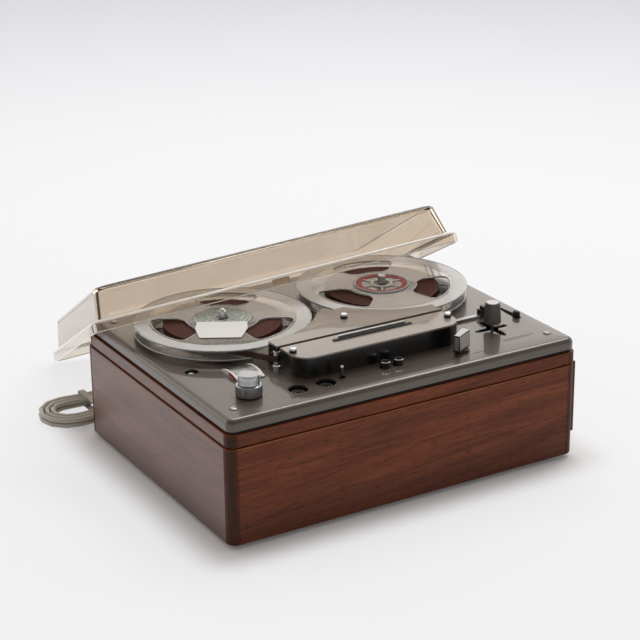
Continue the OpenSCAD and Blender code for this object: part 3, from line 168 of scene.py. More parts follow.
@dataclass(frozen=True)
class Finish:
    """A real material and how its surface was made.

    Attributes:
        name: Common name of the material.
        slot: Material slot of the record; not used.
        light: Colour of the pattern's light parts.
        dark: Colour of the pattern's dark parts.
        pattern: How the surface was made.
        size: Width of the pattern's grain, thread or ring, in millimetres.
        rough: Roughness from the pattern's dark parts to its light ones.
        metallic: Share of bare metal.
        coat: Weight of a clear coat.
        coat_rough: Roughness of that coat.
        clear: Share of light that passes through.
        ior: Index of refraction of what isn't metal.
        relief: Height of the pattern, in millimetres.
        centre: Axis of rings, in deck millimetres.
        along: Axis along which the grain runs.
        uv: Whether the grain follows the piece's own UV map.
        pore: Colour of open pores in wood.
        foot: Height in millimetres below which wood is darkened towards the table by painted shade.
    """

    name: str
    slot: str
    light: str
    dark: str
    pattern: Pattern
    size: float
    rough: Pair
    metallic: float = 0.0
    coat: float = 0.0
    coat_rough: float = 0.06
    clear: float = 0.0
    ior: float = 1.5
    relief: float = 0.0
    centre: Pair = (0.0, 0.0)
    along: Triple = (1.0, 0.0, 0.0)
    uv: bool = False
    pore: str = ""
    foot: float = 0.0

    def material(self) -> bpy.types.Material:
        """Make the material once and give it back after that.

        Returns:
            A node material named for this finish.
        """
        known = bpy.data.materials.get(self.name)
        if known:
            return known
        made = bpy.data.materials.new(self.name)
        made.use_nodes = True
        tree = made.node_tree
        tree.nodes.clear()
        where = add(tree, "ShaderNodeTexCoord").outputs["UV" if self.uv else "Object"]
        share = self.factor(tree, where)
        layers = [(share, self.light)]
        if self.pore:
            layers.append((self.pores(tree, where), self.pore))
        # Painted shade towards the table, in the pores' colour.
        if self.foot:
            layers.append((self.foot_shade(tree), self.pore))
        colour: object = srgb(self.dark)
        for part, code in layers:
            colour = add(tree, "ShaderNodeMix", {MIX_SHARE: part, MIX_FIRST: colour, MIX_SECOND: srgb(code)},
                         data_type="RGBA").outputs[MIX_RESULT]
        rough = add(tree, "ShaderNodeMapRange", {"Value": share, "To Min": self.rough[0], "To Max": self.rough[1]})
        shader = add(tree, "ShaderNodeBsdfPrincipled", {
            "Base Color": colour, "Roughness": rough.outputs[0], "Metallic": self.metallic, "IOR": self.ior,
            "Transmission Weight": self.clear, "Coat Weight": self.coat, "Coat Roughness": self.coat_rough})
        if self.relief:
            bump = add(tree, "ShaderNodeBump", {"Strength": 1.0, "Distance": self.relief * MM, "Height": share})
            tree.links.new(bump.outputs[0], shader.inputs["Normal"])
        add(tree, "ShaderNodeOutputMaterial", {0: shader.outputs[0]})
        return made

    def stretched(self, tree: bpy.types.NodeTree, where: bpy.types.NodeSocket, width: float, reach: float,
                  **noise: float) -> bpy.types.NodeSocket:
        """Noise drawn out along the grain.

        Args:
            tree: Tree of the material.
            where: Coordinates in metres.
            width: Width of a streak in millimetres.
            reach: Length of a streak in millimetres.
            **noise: Further inputs of the noise.

        Returns:
            The noise's value.
        """
        scale = tuple(1 / (reach * MM) if a else 1 / (width * MM) for a in self.along)
        lean = math.radians(GRAIN_LEAN) if self.pore and self.uv else 0.0
        leant = add(tree, "ShaderNodeMapping", {"Vector": where, "Rotation": (0.0, 0.0, lean)}).outputs[0]
        laid = add(tree, "ShaderNodeVectorMath", {0: leant, 1: scale}, operation="MULTIPLY").outputs[0]
        return add(tree, "ShaderNodeTexNoise", {"Vector": laid, "Scale": 1.0, **noise}).outputs[0]

    def pores(self, tree: bpy.types.NodeTree, where: bpy.types.NodeSocket) -> bpy.types.NodeSocket:
        """Short dark pores of an open-grained wood, drawn wider than real ones so that they show.

        Args:
            tree: Tree of the material.
            where: Coordinates in metres.

        Returns:
            A socket that is highest in a pore.
        """
        width, reach = (self.size * grains for grains in PORE)
        dash = self.stretched(tree, where, width, reach, Detail=2.0, Roughness=0.5)
        return add(tree, "ShaderNodeMapRange", {"Value": dash, "From Min": PORE_CUT[0], "From Max": PORE_CUT[1],
                                                "To Min": 0.0, "To Max": PORE_DEPTH}).outputs[0]

    def foot_shade(self, tree: bpy.types.NodeTree) -> bpy.types.NodeSocket:
        """Painted shade that darkens wood towards the table.

        Args:
            tree: Tree of the material.

        Returns:
            A socket that is highest at the foot.
        """
        place = add(tree, "ShaderNodeTexCoord").outputs["Object"]
        height = add(tree, "ShaderNodeSeparateXYZ", {0: place}).outputs["Z"]
        return add(tree, "ShaderNodeMapRange", {"Value": height, "From Min": FOOT_SHADE_FROM, "From Max": self.foot * MM,
                                                "To Min": FOOT_SHADE, "To Max": 0.0},
                   interpolation_type="SMOOTHSTEP").outputs[0]

    def factor(self, tree: bpy.types.NodeTree, where: bpy.types.NodeSocket) -> bpy.types.NodeSocket:
        """Draw the pattern.

        Args:
            tree: Tree of the material.
            where: Coordinates in metres.

        Returns:
            A socket that runs from 0, dark, to 1, light.
        """
        size, fine = self.size, 1.0 / (self.size * MM)
        if self.pattern is Pattern.BRUSHED:
            drawn = self.stretched(tree, where, size, size * 45, Detail=5.0, Roughness=0.62)
        elif self.pattern is Pattern.VENEER:
            streak = self.stretched(tree, where, size, size * 40, Detail=4.0, Roughness=0.6)
            figure = self.stretched(tree, where, size * 6, size * 60, Detail=3.0, Distortion=0.8)
            drawn = add(tree, "ShaderNodeMath", {0: streak, 1: figure}, operation="ADD").outputs[0]
        elif self.pattern in (Pattern.TURNED, Pattern.WOUND):
            axis = metres((*self.centre, 0.0))
            moved = add(tree, "ShaderNodeVectorMath", {0: where, 1: axis}, operation="SUBTRACT").outputs[0]
            flat = add(tree, "ShaderNodeVectorMath", {0: moved, 1: (fine, fine, 0.0)}, operation="MULTIPLY").outputs[0]
            radius = add(tree, "ShaderNodeVectorMath", {0: flat}, operation="LENGTH").outputs["Value"]
            drawn = add(tree, "ShaderNodeTexNoise", {"W": radius, "Scale": 1.0, "Detail": 4.0, "Roughness": 0.7},
                        noise_dimensions="1D").outputs[0]
        elif self.pattern is Pattern.WOVEN:
            cells = add(tree, "ShaderNodeMapping", {"Vector": where, "Scale": (fine, fine, fine)}).outputs[0]
            weave = add(tree, "ShaderNodeTexChecker", {"Vector": cells, "Scale": 1.0}).outputs[1]
            stray = add(tree, "ShaderNodeTexNoise", {"Vector": cells, "Scale": 0.6, "Detail": 2.0}).outputs[0]
            drawn = add(tree, "ShaderNodeMath", {0: weave, 1: stray}, operation="MULTIPLY").outputs[0]
        elif self.pattern is Pattern.CRAZED:
            drawn = add(tree, "ShaderNodeTexVoronoi", {"Vector": where, "Scale": fine},
                        feature="DISTANCE_TO_EDGE").outputs[0]
        else:
            drawn = add(tree, "ShaderNodeTexNoise", {"Vector": where, "Scale": fine, "Detail": 3.0,
                                                     "Roughness": 0.6}).outputs[0]
        if self.pattern not in CUTS:
            return drawn
        low, high = CUTS[self.pattern]
        return add(tree, "ShaderNodeMapRange", {"Value": drawn, "From Min": low, "From Max": high}).outputs[0]


# Sliced teak veneer under satin oil: warm brown with broad figure, short dark pores and a soft sheen at a low angle.
TEAK = Finish("oiled teak veneer", "teak", "#8C4C2E", "#522818", Pattern.VENEER, 2.0, (0.46, 0.36), ior=1.28,
              relief=0.02, uv=True, pore="#2C140C", foot=60.0)
# The side panels: a darker copy of the same veneer, its darker colour painted shade, under a coat that gives a grey
# gloss at a low angle.
TEAK_SIDE_SHADED = Finish("oiled teak sides painted darker", "teak", "#7C4128", "#452115", Pattern.VENEER, 2.0, (0.4, 0.32), coat=0.5,
                   coat_rough=0.3, relief=0.02, along=(0.0, 1.0, 0.0), pore="#2C140C", foot=40.0)
# The darker solid strips round the corners, grain upright.
TEAK_POST = Finish("oiled teak posts", "teak", "#502B1A", "#2F170E", Pattern.VENEER, 1.6, (0.46, 0.36), ior=1.28,
                   relief=0.02, along=(0.0, 0.0, 1.0), pore="#27120B")
# A pale line along the front edge under the groove: a painted highlight.
TEAK_EDGE_HIGHLIGHT = Finish("teak edge with painted highlight", "teak", "#B2774C", "#875232", Pattern.VENEER, 1.5, (0.5, 0.6), ior=1.28)
# The same veneer on the narrow slats and rails of the speaker grille, grain upright.
TEAK_SLAT = Finish("oiled teak slats", "teak", "#7E4728", "#4A2516", Pattern.VENEER, 2.0, (0.46, 0.36), ior=1.28,
                   relief=0.02, along=(0.0, 0.0, 1.0), pore="#2C140C")
# Pressed hardboard: dull brown with a fine fibre speckle.
HARDBOARD = Finish("pressed hardboard", "hardboard", "#5A4738", "#43342A", Pattern.MOULDED, 1.2, (0.7, 0.85),
                   relief=0.05)
# Moulded rubber feet: near black and matt.
RUBBER = Finish("moulded rubber", "rubber", "#232222", "#171616", Pattern.MOULDED, 0.6, (0.6, 0.75), relief=0.02)
# Soft black rubber of seal, belt, roller, washer and cord gland: black with a faint sheen.
BLACK_RUBBER = Finish("black rubber", "black_rubber", "#141414", "#0B0B0B", Pattern.MOULDED, 0.7, (0.55, 0.7),
                      relief=0.02)
# Sprayed metallic enamel on steel: dark taupe with fine flakes, drawn coarser than real, under a clear gloss that
# mirrors the room and whatever stands on it.
ENAMEL = Finish("metallic taupe enamel", "taupe_paint", "#52443A", "#473B32", Pattern.FLAKE, 0.9, (0.38, 0.46),
                metallic=0.25, coat=1.0, coat_rough=0.07)
# The head cover's plates: the same enamel, a tone lighter.
PALE_ENAMEL = Finish("pale metallic enamel", "taupe_paint", "#8B8077", "#7E736A", Pattern.FLAKE, 0.9, (0.38, 0.46),
                     metallic=0.25, coat=1.0, coat_rough=0.07)
# Zinc plated steel of hidden brackets: grey, rolled along one way.
ZINC = Finish("zinc plated steel", "zinc_steel", "#B4B6B6", "#8E9191", Pattern.BRUSHED, 0.8, (0.35, 0.5), metallic=1.0)
# Steel under the deck's slots, painted near black as the shade in them: the slots read as dark openings.
SLOT_SHADE_STEEL = Finish("steel painted dark as slot shade", "zinc_steel", "#1D1C1B", "#131212", Pattern.BRUSHED, 0.8, (0.5, 0.6),
                    metallic=0.3)
# Ground steel of the heads, the flywheel and the deck's screws: a soft grey mirror.
STEEL = Finish("polished steel", "bright_steel", "#C9CACA", "#A9ABAC", Pattern.BRUSHED, 0.4, (0.18, 0.3), metallic=1.0)
# Bright chrome plate: a clean mirror with the faintest smears.
CHROME = Finish("chrome plate", "chrome", "#E4E6E8", "#D2D5D8", Pattern.POLISHED, 6.0, (0.06, 0.14), metallic=1.0)
# Smoked chrome on the buttons' sides: a dark mirror.
DARK_CHROME = Finish("smoked chrome plate", "chrome", "#55565A", "#424347", Pattern.POLISHED, 4.0, (0.12, 0.2),
                     metallic=1.0)
# Moulded black plastic of walls, levers and sockets: black with clear highlights.
BLACK = Finish("moulded black plastic", "black_plastic", "#171615", "#0E0E0D", Pattern.MOULDED, 0.5, (0.2, 0.28),
               relief=0.004)
# Black printing on the enamel: flat and even.
INK = Finish("black screen print", "black_plastic", "#171513", "#100F0E", Pattern.MOULDED, 0.4, (0.6, 0.7), ior=1.08)
# Satin grey plastic of the joystick, the sockets' rings and the meter's frame: soft broad highlights.
GREY = Finish("satin grey plastic", "black_plastic", "#696765", "#575553", Pattern.MOULDED, 0.5, (0.3, 0.4),
              relief=0.01)
# Moulded white plastic of the meter, the toggle's tip and a reel hub: even, with a satin sheen.
WHITE = Finish("moulded white plastic", "white_plastic", "#F1EFEA", "#E6E3DC", Pattern.MOULDED, 0.6, (0.35, 0.45),
               relief=0.01)
# Clear polystyrene gone a little milky: glossy, with moulding ripples.
CLEAR = Finish("clear polystyrene", "clear_plastic", "#FBFAF9", "#F3F2F0", Pattern.POLISHED, 9.0, (0.02, 0.05),
               clear=0.86)
# Frosted outer band of the reels: it takes the light as a soft white ring.
FROST = Finish("frosted polystyrene", "clear_plastic", "#FAFAFA", "#EEEEEF", Pattern.POLISHED, 14.0, (0.1, 0.25),
               clear=0.38)
# Blank paper label on a reel: the whitest and flattest thing on the deck.
PAPER = Finish("white paper label", "white_plastic", "#F6F5F3", "#ECEAE6", Pattern.MOULDED, 0.8, (0.5, 0.6),
               relief=0.01)
# Clean clear acrylic of the meter's window: seen by its reflections alone.
WINDOW = Finish("clear acrylic window", "clear_plastic", "#FCFCFC", "#F6F7F6", Pattern.POLISHED, 9.0, (0.01, 0.03),
                clear=1.0, ior=1.49)
# Beads on the clear reels' rims and hub lips, whitish and half clear: a painted highlight in white lines.
REEL_HIGHLIGHT = Finish("clear polystyrene with painted highlight", "clear_plastic", "#F6F6F6", "#E6E7E8", Pattern.POLISHED, 5.0, (0.15, 0.3),
              clear=0.35)
# Crackled clear plastic in the reel hub: it breaks the light into small bright cells.
CRACKLE = Finish("crackled clear plastic", "clear_plastic", "#EEF5F0", "#86A296", Pattern.CRAZED, 3.0, (0.1, 0.25),
                 clear=0.3, relief=1.0)
# Smoked acrylic, pale beige in the thickness of a sheet and polished.
ACRYLIC = Finish("smoked acrylic", "smoked_acrylic", "#ECE3D7", "#E7DDD0", Pattern.POLISHED, 30.0, (0.02, 0.05),
                 clear=1.0, ior=1.49)
# Bands on that sheet's ledge and rim foot, cream and nearly opaque: a painted highlight.
ACRYLIC_HIGHLIGHT = Finish("smoked acrylic with painted highlight", "smoked_acrylic", "#FFFBF4", "#F6EFE4", Pattern.POLISHED, 8.0,
                      (0.12, 0.2), coat=1.0, clear=0.05, ior=1.49)
# Rounded top edge of the lid, seen along the sheet, where the smoke looks deepest.
ACRYLIC_DEEP = Finish("smoked acrylic along its sheet", "smoked_acrylic", "#7A6C5C", "#6D6050", Pattern.POLISHED, 12.0,
                      (0.05, 0.1), clear=0.6, ior=1.49)
# Iron core of the transformer: varnished laminations, dark with fine lines.
IRON = Finish("varnished iron laminations", "iron_core", "#5C564F", "#3C3833", Pattern.BRUSHED, 0.5, (0.4, 0.55),
              metallic=0.4)
# Lacquered circuit board: even green with a gloss.
BOARD = Finish("lacquered circuit board", "board_green", "#4A7A4E", "#35613A", Pattern.MOULDED, 2.0, (0.3, 0.4))
# Turned brass of bushes and pulley: yellow metal with fine lines.
BRASS = Finish("turned brass", "brass", "#C8A45A", "#A9833C", Pattern.BRUSHED, 0.4, (0.2, 0.32), metallic=1.0)
# Soft grey vinyl of the mains lead and plug: pale, with a satin sheen.
VINYL = Finish("soft grey vinyl", "grey_vinyl", "#C6C2BA", "#B8B4AB", Pattern.MOULDED, 1.0, (0.42, 0.52), relief=0.01)
# Red paint of the needle, the meter's red zone and a reel's ring: strong and almost matt.
RED = Finish("matt red paint", "red_paint", "#B4242C", "#9C1B24", Pattern.MOULDED, 0.5, (0.45, 0.55))
# Woven speaker cloth behind the slats: dark, with its threads drawn coarser than real.
CLOTH = Finish("woven speaker cloth", "black_plastic", "#3A3029", "#1C1713", Pattern.WOVEN, 0.8, (0.8, 0.9), relief=0.1)
# Satin aluminium of the selector, the pause lever and the bright strips: pale metal with upright lines.
ALUMINIUM = Finish("satin aluminium", "spun_aluminium", "#C3C4C5", "#A6A8A9", Pattern.BRUSHED, 0.5, (0.26, 0.36),
                   metallic=1.0, along=(0.0, 0.0, 1.0))
# Knurled aluminium ring: darker in its grooves.
KNURLED = Finish("knurled aluminium", "spun_aluminium", "#B2B3B5", "#8C8D8F", Pattern.BRUSHED, 0.5, (0.26, 0.4),
                 metallic=1.0, along=(0.0, 0.0, 1.0))
# The ribbed tie round the lead's hank: the same vinyl, a little duller.
TIE_VINYL = Finish("ribbed vinyl tie", "grey_vinyl", "#BDB9B0", "#ABA79E", Pattern.MOULDED, 0.8, (0.45, 0.55),
                   relief=0.02)
# Oxide tape between the reels: dark brown with a smooth gloss.
OXIDE = Finish("oxide tape", "oxide_tape", "#43241C", "#331A15", Pattern.BRUSHED, 0.5, (0.25, 0.35))


def turned(finish_name: str, slot: str, colours: tuple[str, str], centre: Pair, rough: Pair) -> Finish:
    """A lathe-turned metal about its own axis.

    Args:
        finish_name: Name of the finish.
        slot: Material slot of the record.
        colours: Light and dark hex colours.
        centre: Axis in deck millimetres.
        rough: Roughness from dark rings to light ones.

    Returns:
        The finish.
    """
    return Finish(finish_name, slot, *colours, Pattern.TURNED, 0.35, rough, metallic=1.0, centre=centre)


class Mesh:
    """A mesh in the making, in deck millimetres."""

    def __init__(self) -> None:
        """Start empty."""
        self.bm = bmesh.new()
        self.copied = False

    def loft(self, rings: Sequence[Sequence[Sequence[float]]], close: bool = False, caps: bool = True,
             uv: bool = False) -> Mesh:
        """Skin a row of closed rings with equal counts of points.

        Args:
            rings: Rings of points, in order along the skin.
            close: Join the last ring to the first.
            caps: Fill the two ends where the skin is open.
            uv: Write metres round the first ring and along the skin to a UV map.

        Returns:
            This mesh.
        """
        made = [[self.bm.verts.new(p) for p in ring] for ring in rings]
        count = len(made[0])
        layer = self.bm.loops.layers.uv.verify() if uv else None
        base = [Vector(p) for p in rings[0]]
        around = [0.0]
        for i in range(count):
            around.append(around[-1] + (base[(i + 1) % count] - base[i]).length * MM)
        up = 0.0
        rows = list(zip(made, made[1:] + made[:1])) if close else list(zip(made, made[1:]))
        for low, high in rows:
            step = (high[0].co - low[0].co).length * MM
            for i in range(count):
                j = (i + 1) % count
                face = self.bm.faces.new((low[i], low[j], high[j], high[i]))
                if layer:
                    spots = ((around[i], up), (around[i + 1], up), (around[i + 1], up + step), (around[i], up + step))
                    for loop, spot in zip(face.loops, spots):
                        loop[layer].uv = spot
            up += step
        if caps and not close:
            self.bm.faces.new(list(reversed(made[0])))
            self.bm.faces.new(made[-1])
        return self

    def revolve(self, profile: Sequence[Pair], at: Pair, steps: int, base: float = 0.0) -> Mesh:
        """Turn an open profile of radius and height about an upright axis.

        Args:
            profile: Points of radius and height; a radius of 0 closes on the axis.
            at: Place of the axis.
            steps: Faces round the axis.
            base: Height from which the profile is measured.

        Returns:
            This mesh.
        """
        rings = []
        turns = [math.tau * i / steps for i in range(steps)]
        for r, z in profile:
            spots = [(r * math.cos(t), r * math.sin(t)) for t in turns] if r > 0 else [(0.0, 0.0)]
            rings.append([self.bm.verts.new((at[0] + x, at[1] + y, base + z)) for x, y in spots])
        for low, high in zip(rings, rings[1:]):
            for i in range(steps):
                j = (i + 1) % steps
                if len(low) == 1 and len(high) > 1:
                    self.bm.faces.new((low[0], high[j], high[i]))
                elif len(high) == 1 and len(low) > 1:
                    self.bm.faces.new((low[i], low[j], high[0]))
                elif len(low) > 1:
                    self.bm.faces.new((low[i], low[j], high[j], high[i]))
        return self

    def prism(self, outline: Sequence[Pair], low: float, high: float) -> Mesh:
        """Raise an outline to a block with level ends.

        Args:
            outline: Corners in plan, anticlockwise.
            low: Height of the lower end.
            high: Height of the upper end.

        Returns:
            This mesh.
        """
        return self.loft([[(x, y, low) for x, y in outline], [(x, y, high) for x, y in outline]])

    def block(self, low: Triple, high: Triple) -> Mesh:
        """Add a box between two corners."""
        (x0, y0, z0), (x1, y1, z1) = low, high
        return self.prism([(x0, y0), (x1, y0), (x1, y1), (x0, y1)], z0, z1)

    def solid(self, node: str) -> Mesh:
        """Add a merged copy of a CAD node, back in deck millimetres.

        Args:
            node: Name of the node.

        Returns:
            This mesh.
        """
        start = len(self.bm.verts)
        self.bm.from_mesh(FRAME["nodes"][node].data)
        self.bm.verts.ensure_lookup_table()
        fresh = list(self.bm.verts)[start:]
        for v in fresh:
            v.co = v.co / MM + MIDDLE
        bmesh.ops.remove_doubles(self.bm, verts=fresh, dist=0.002)
        self.copied = True
        return self

    def rims(self, level: float, least: float, at: Pair) -> list[list[Vector]]:
        """Closed lines where level faces meet upright ones.

        Args:
            level: Height of the lines.
            least: Smallest distance from an axis.
            at: Place of that axis.

        Returns:
            Points of each line, in order.
        """
        self.bm.normal_update()
        near: dict[int, list[bmesh.types.BMVert]] = {}
        spots: dict[int, Vector] = {}
        for edge in self.bm.edges:
            tilts = sorted(abs(f.normal.z) for f in edge.link_faces)
            if len(tilts) != 2 or tilts[0] > 0.1 or tilts[1] < 0.9:
                continue
            a, b = edge.verts
            if all(abs(v.co.z - level) < 0.01 and math.dist(v.co.xy, at) > least for v in (a, b)):
                near.setdefault(a.index, []).append(b)
                near.setdefault(b.index, []).append(a)
                spots[a.index], spots[b.index] = a.co.copy(), b.co.copy()
        lines, done = [], set()
        for first in near:
            line, here = [], first
            while here not in done:
                done.add(here)
                line.append(spots[here])
                here = next((v.index for v in near[here] if v.index not in done), here)
            if len(line) > 8:
                lines.append(line)
        return lines

    def bead(self, line: Sequence[Vector], thick: float) -> Mesh:
        """Lay a round bead on a closed level line.

        Args:
            line: Points in order.
            thick: Radius of the bead.

        Returns:
            This mesh.
        """
        rings, up = [], Vector((0, 0, 1))
        turns = [math.tau * k / 6 for k in range(6)]
        for i, p in enumerate(line):
            way = (line[(i + 1) % len(line)] - line[i - 1]).normalized()
            side = Vector((way.y, -way.x, 0.0))
            rings.append([p + thick * (math.cos(t) * side + math.sin(t) * up) for t in turns])
        return self.loft(rings, close=True)

    def moved(self, matrix: Matrix) -> Mesh:
        """Move all points by a matrix."""
        self.bm.transform(matrix)
        return self

    def plain(self, name: str, origin: Vector = MIDDLE) -> bpy.types.Mesh:
        """End the making.

        Args:
            name: Name of the mesh.
            origin: Point in millimetres that becomes the mesh's own origin.

        Returns:
            A plain mesh in metres, with its faces pointing outwards.
        """
        if not self.copied:
            bmesh.ops.recalc_face_normals(self.bm, faces=self.bm.faces)
        for v in self.bm.verts:
            v.co = (v.co - origin) * MM
        data = bpy.data.meshes.new(name)
        self.bm.to_mesh(data)
        self.bm.free()
        return data


def rounded(w: float, d: float, r: float, z: float, steps: int = 8) -> list[Triple]:
    """Ring of a rectangle with round corners about the origin, anticlockwise from the middle of its back.

    Args:
        w: Width.
        d: Depth.
        r: Radius of the corners.
        z: Height of the ring.
        steps: Faces in one corner.

    Returns:
        Points of the ring.
    """
    points: list[Triple] = [(0.0, d / 2, z)]
    for k, (sx, sy) in enumerate(QUADRANTS):
        for i in range(steps + 1):
            turn = math.radians(90 + 90 * k + 90 * i / steps)
            points.append((sx * (w / 2 - r) + r * math.cos(turn), sy * (d / 2 - r) + r * math.sin(turn), z))
    return points


def arc(centre: Pair, r: float, start: float, end: float, steps: int) -> list[Pair]:
    """Points of an arc, with angles in degrees."""
    turns = [math.radians(start + (end - start) * i / steps) for i in range(steps + 1)]
    return [(centre[0] + r * math.cos(t), centre[1] + r * math.sin(t)) for t in turns]


def tube(inner: float, outer: float, low: float, high: float) -> list[Pair]:
    """Profile of a flat ring between two radii and two heights."""
    return [(inner, low), (outer, low), (outer, high), (inner, high), (inner, low)]


def settle(name: str, mesh: Mesh | bpy.types.Mesh, finish: Finish, body: str = "recorder",
           stands_for: Sequence[str] = (), bevel: float = 0.0, crease: float = 32.0) -> bpy.types.Object:
    """Put a piece in the scene with rounded edges, clean shading, its finish and its body.

    Args:
        name: Name of the piece.
        mesh: Mesh in deck millimetres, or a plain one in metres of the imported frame.
        finish: Its finish.
        body: CAD body that it rides on.
        stands_for: CAD nodes that it replaces.
        bevel: Width of rounded edges in millimetres.
        crease: Angle in degrees past which an edge stays sharp.

    Returns:
        The finished object.
    """
    piece = bpy.data.objects.new(name, mesh.plain(name) if isinstance(mesh, Mesh) else mesh)
    bpy.context.scene.collection.objects.link(piece)
    if bevel:
        edge = piece.modifiers.new("edges", "BEVEL")
        edge.width, edge.segments, edge.limit_method = bevel * MM, 2, "ANGLE"
        edge.angle_limit, edge.miter_outer = math.radians(crease), "MITER_ARC"
        baked(piece)
    piece.data.shade_smooth()
    piece.data.set_sharp_from_angle(angle=math.radians(crease))
    weight = piece.modifiers.new("weights", "WEIGHTED_NORMAL")
    weight.keep_sharp, weight.weight = True, 80
    baked(piece)
    piece.data.materials.clear()
    piece.data.materials.append(finish.material())
    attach(piece, body)
    if stands_for:
        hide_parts(*stands_for)
    LOG.info("%s: %d faces in %s on %s", name, len(piece.data.polygons), finish.name, body)
    return piece


def baked(piece: bpy.types.Object) -> None:
    """Replace a piece's mesh by what its modifiers make of it, and remove them.

    Args:
        piece: Object with modifiers.
    """
    bpy.context.view_layer.update()
    found = piece.evaluated_get(bpy.context.evaluated_depsgraph_get())
    data = bpy.data.meshes.new_from_object(found)
    old = piece.data
    piece.modifiers.clear()
    piece.data = data
    data.name = old.name
    bpy.data.meshes.remove(old)


def coat(node: str, finish: Finish) -> None:
    """Give a CAD node that stays in view its finish.

    Args:
        node: Name of the node.
        finish: Its finish.
    """
    data = FRAME["nodes"][node].data
    data.materials.clear()
    data.materials.append(finish.material())
    LOG.info("%s: %s", node, finish.name)


def repeat_tree() -> bpy.types.NodeTree:
    """Geometry Nodes tree that repeats the mesh it is given along a line and about its start.

    Returns:
        The tree, made once.
    """
    known = bpy.data.node_groups.get("repeat")
    if known:
        return known
    tree = bpy.data.node_groups.new("repeat", "GeometryNodeTree")
    for label, kind in (("Geometry", "Geometry"), ("Count", "Int"), ("Start", "Vector"), ("Step", "Vector"),
                        ("Turn", "Float"), ("Finish", "Material")):
        tree.interface.new_socket(label, in_out="INPUT", socket_type=f"NodeSocket{kind}")
    tree.interface.new_socket("Geometry", in_out="OUTPUT", socket_type="NodeSocketGeometry")
    given = add(tree, "NodeGroupInput").outputs
    line = add(tree, "GeometryNodeMeshLine", {"Count": given["Count"], "Start Location": given["Start"],
                                              "Offset": given["Step"]}, mode="OFFSET")
    angle = add(tree, "ShaderNodeMath", {0: add(tree, "GeometryNodeInputIndex").outputs[0], 1: given["Turn"]},
                operation="MULTIPLY")
    swing = add(tree, "ShaderNodeCombineXYZ", {"Z": angle.outputs[0]})
    laid = add(tree, "GeometryNodeInstanceOnPoints", {"Points": line.outputs[0], "Instance": given["Geometry"],
                                                      "Rotation": swing.outputs[0]})
    real = add(tree, "GeometryNodeRealizeInstances", {0: laid.outputs[0]})
    dressed = add(tree, "GeometryNodeSetMaterial", {"Geometry": real.outputs[0], "Material": given["Finish"]})
    add(tree, "NodeGroupOutput", {0: dressed.outputs[0]})
    return tree


@dataclass
class Repeat:
    """A row or ring of equal small forms, made by Geometry Nodes.

    Attributes:
        name: Name of the piece.
        count: Number of copies.
        start: Place of the first copy, or the axis of a ring, in deck millimetres.
        step: Way from copy to copy, in millimetres.
        turn: Angle from copy to copy, in degrees.
    """

    name: str
    count: int
    start: Triple
    step: Triple = ORIGIN
    turn: float = 0.0

    def settle(self, one: Mesh, finish: Finish, body: str = "recorder") -> bpy.types.Object:
        """Repeat one form and finish the copies as one piece.

        Args:
            one: The form about the origin, in millimetres.
            finish: Finish of the copies.
            body: CAD body that they ride on.

        Returns:
            The finished object.
        """
        carrier = bpy.data.objects.new(self.name, one.plain(self.name, Vector(ORIGIN)))
        bpy.context.scene.collection.objects.link(carrier)
        tree = repeat_tree()
        modifier = carrier.modifiers.new("repeat", "NODES")
        modifier.node_group = tree
        values = {"Count": self.count, "Start": metres(self.start), "Step": Vector(self.step) * MM,
                  "Turn": math.radians(self.turn), "Finish": finish.material()}
        for item in tree.interface.items_tree:
            if item.in_out == "INPUT" and item.name in values:
                modifier[item.identifier] = values[item.name]
        baked(carrier)
        copies = carrier.data
        bpy.data.objects.remove(carrier)
        return settle(self.name, copies, finish, body)


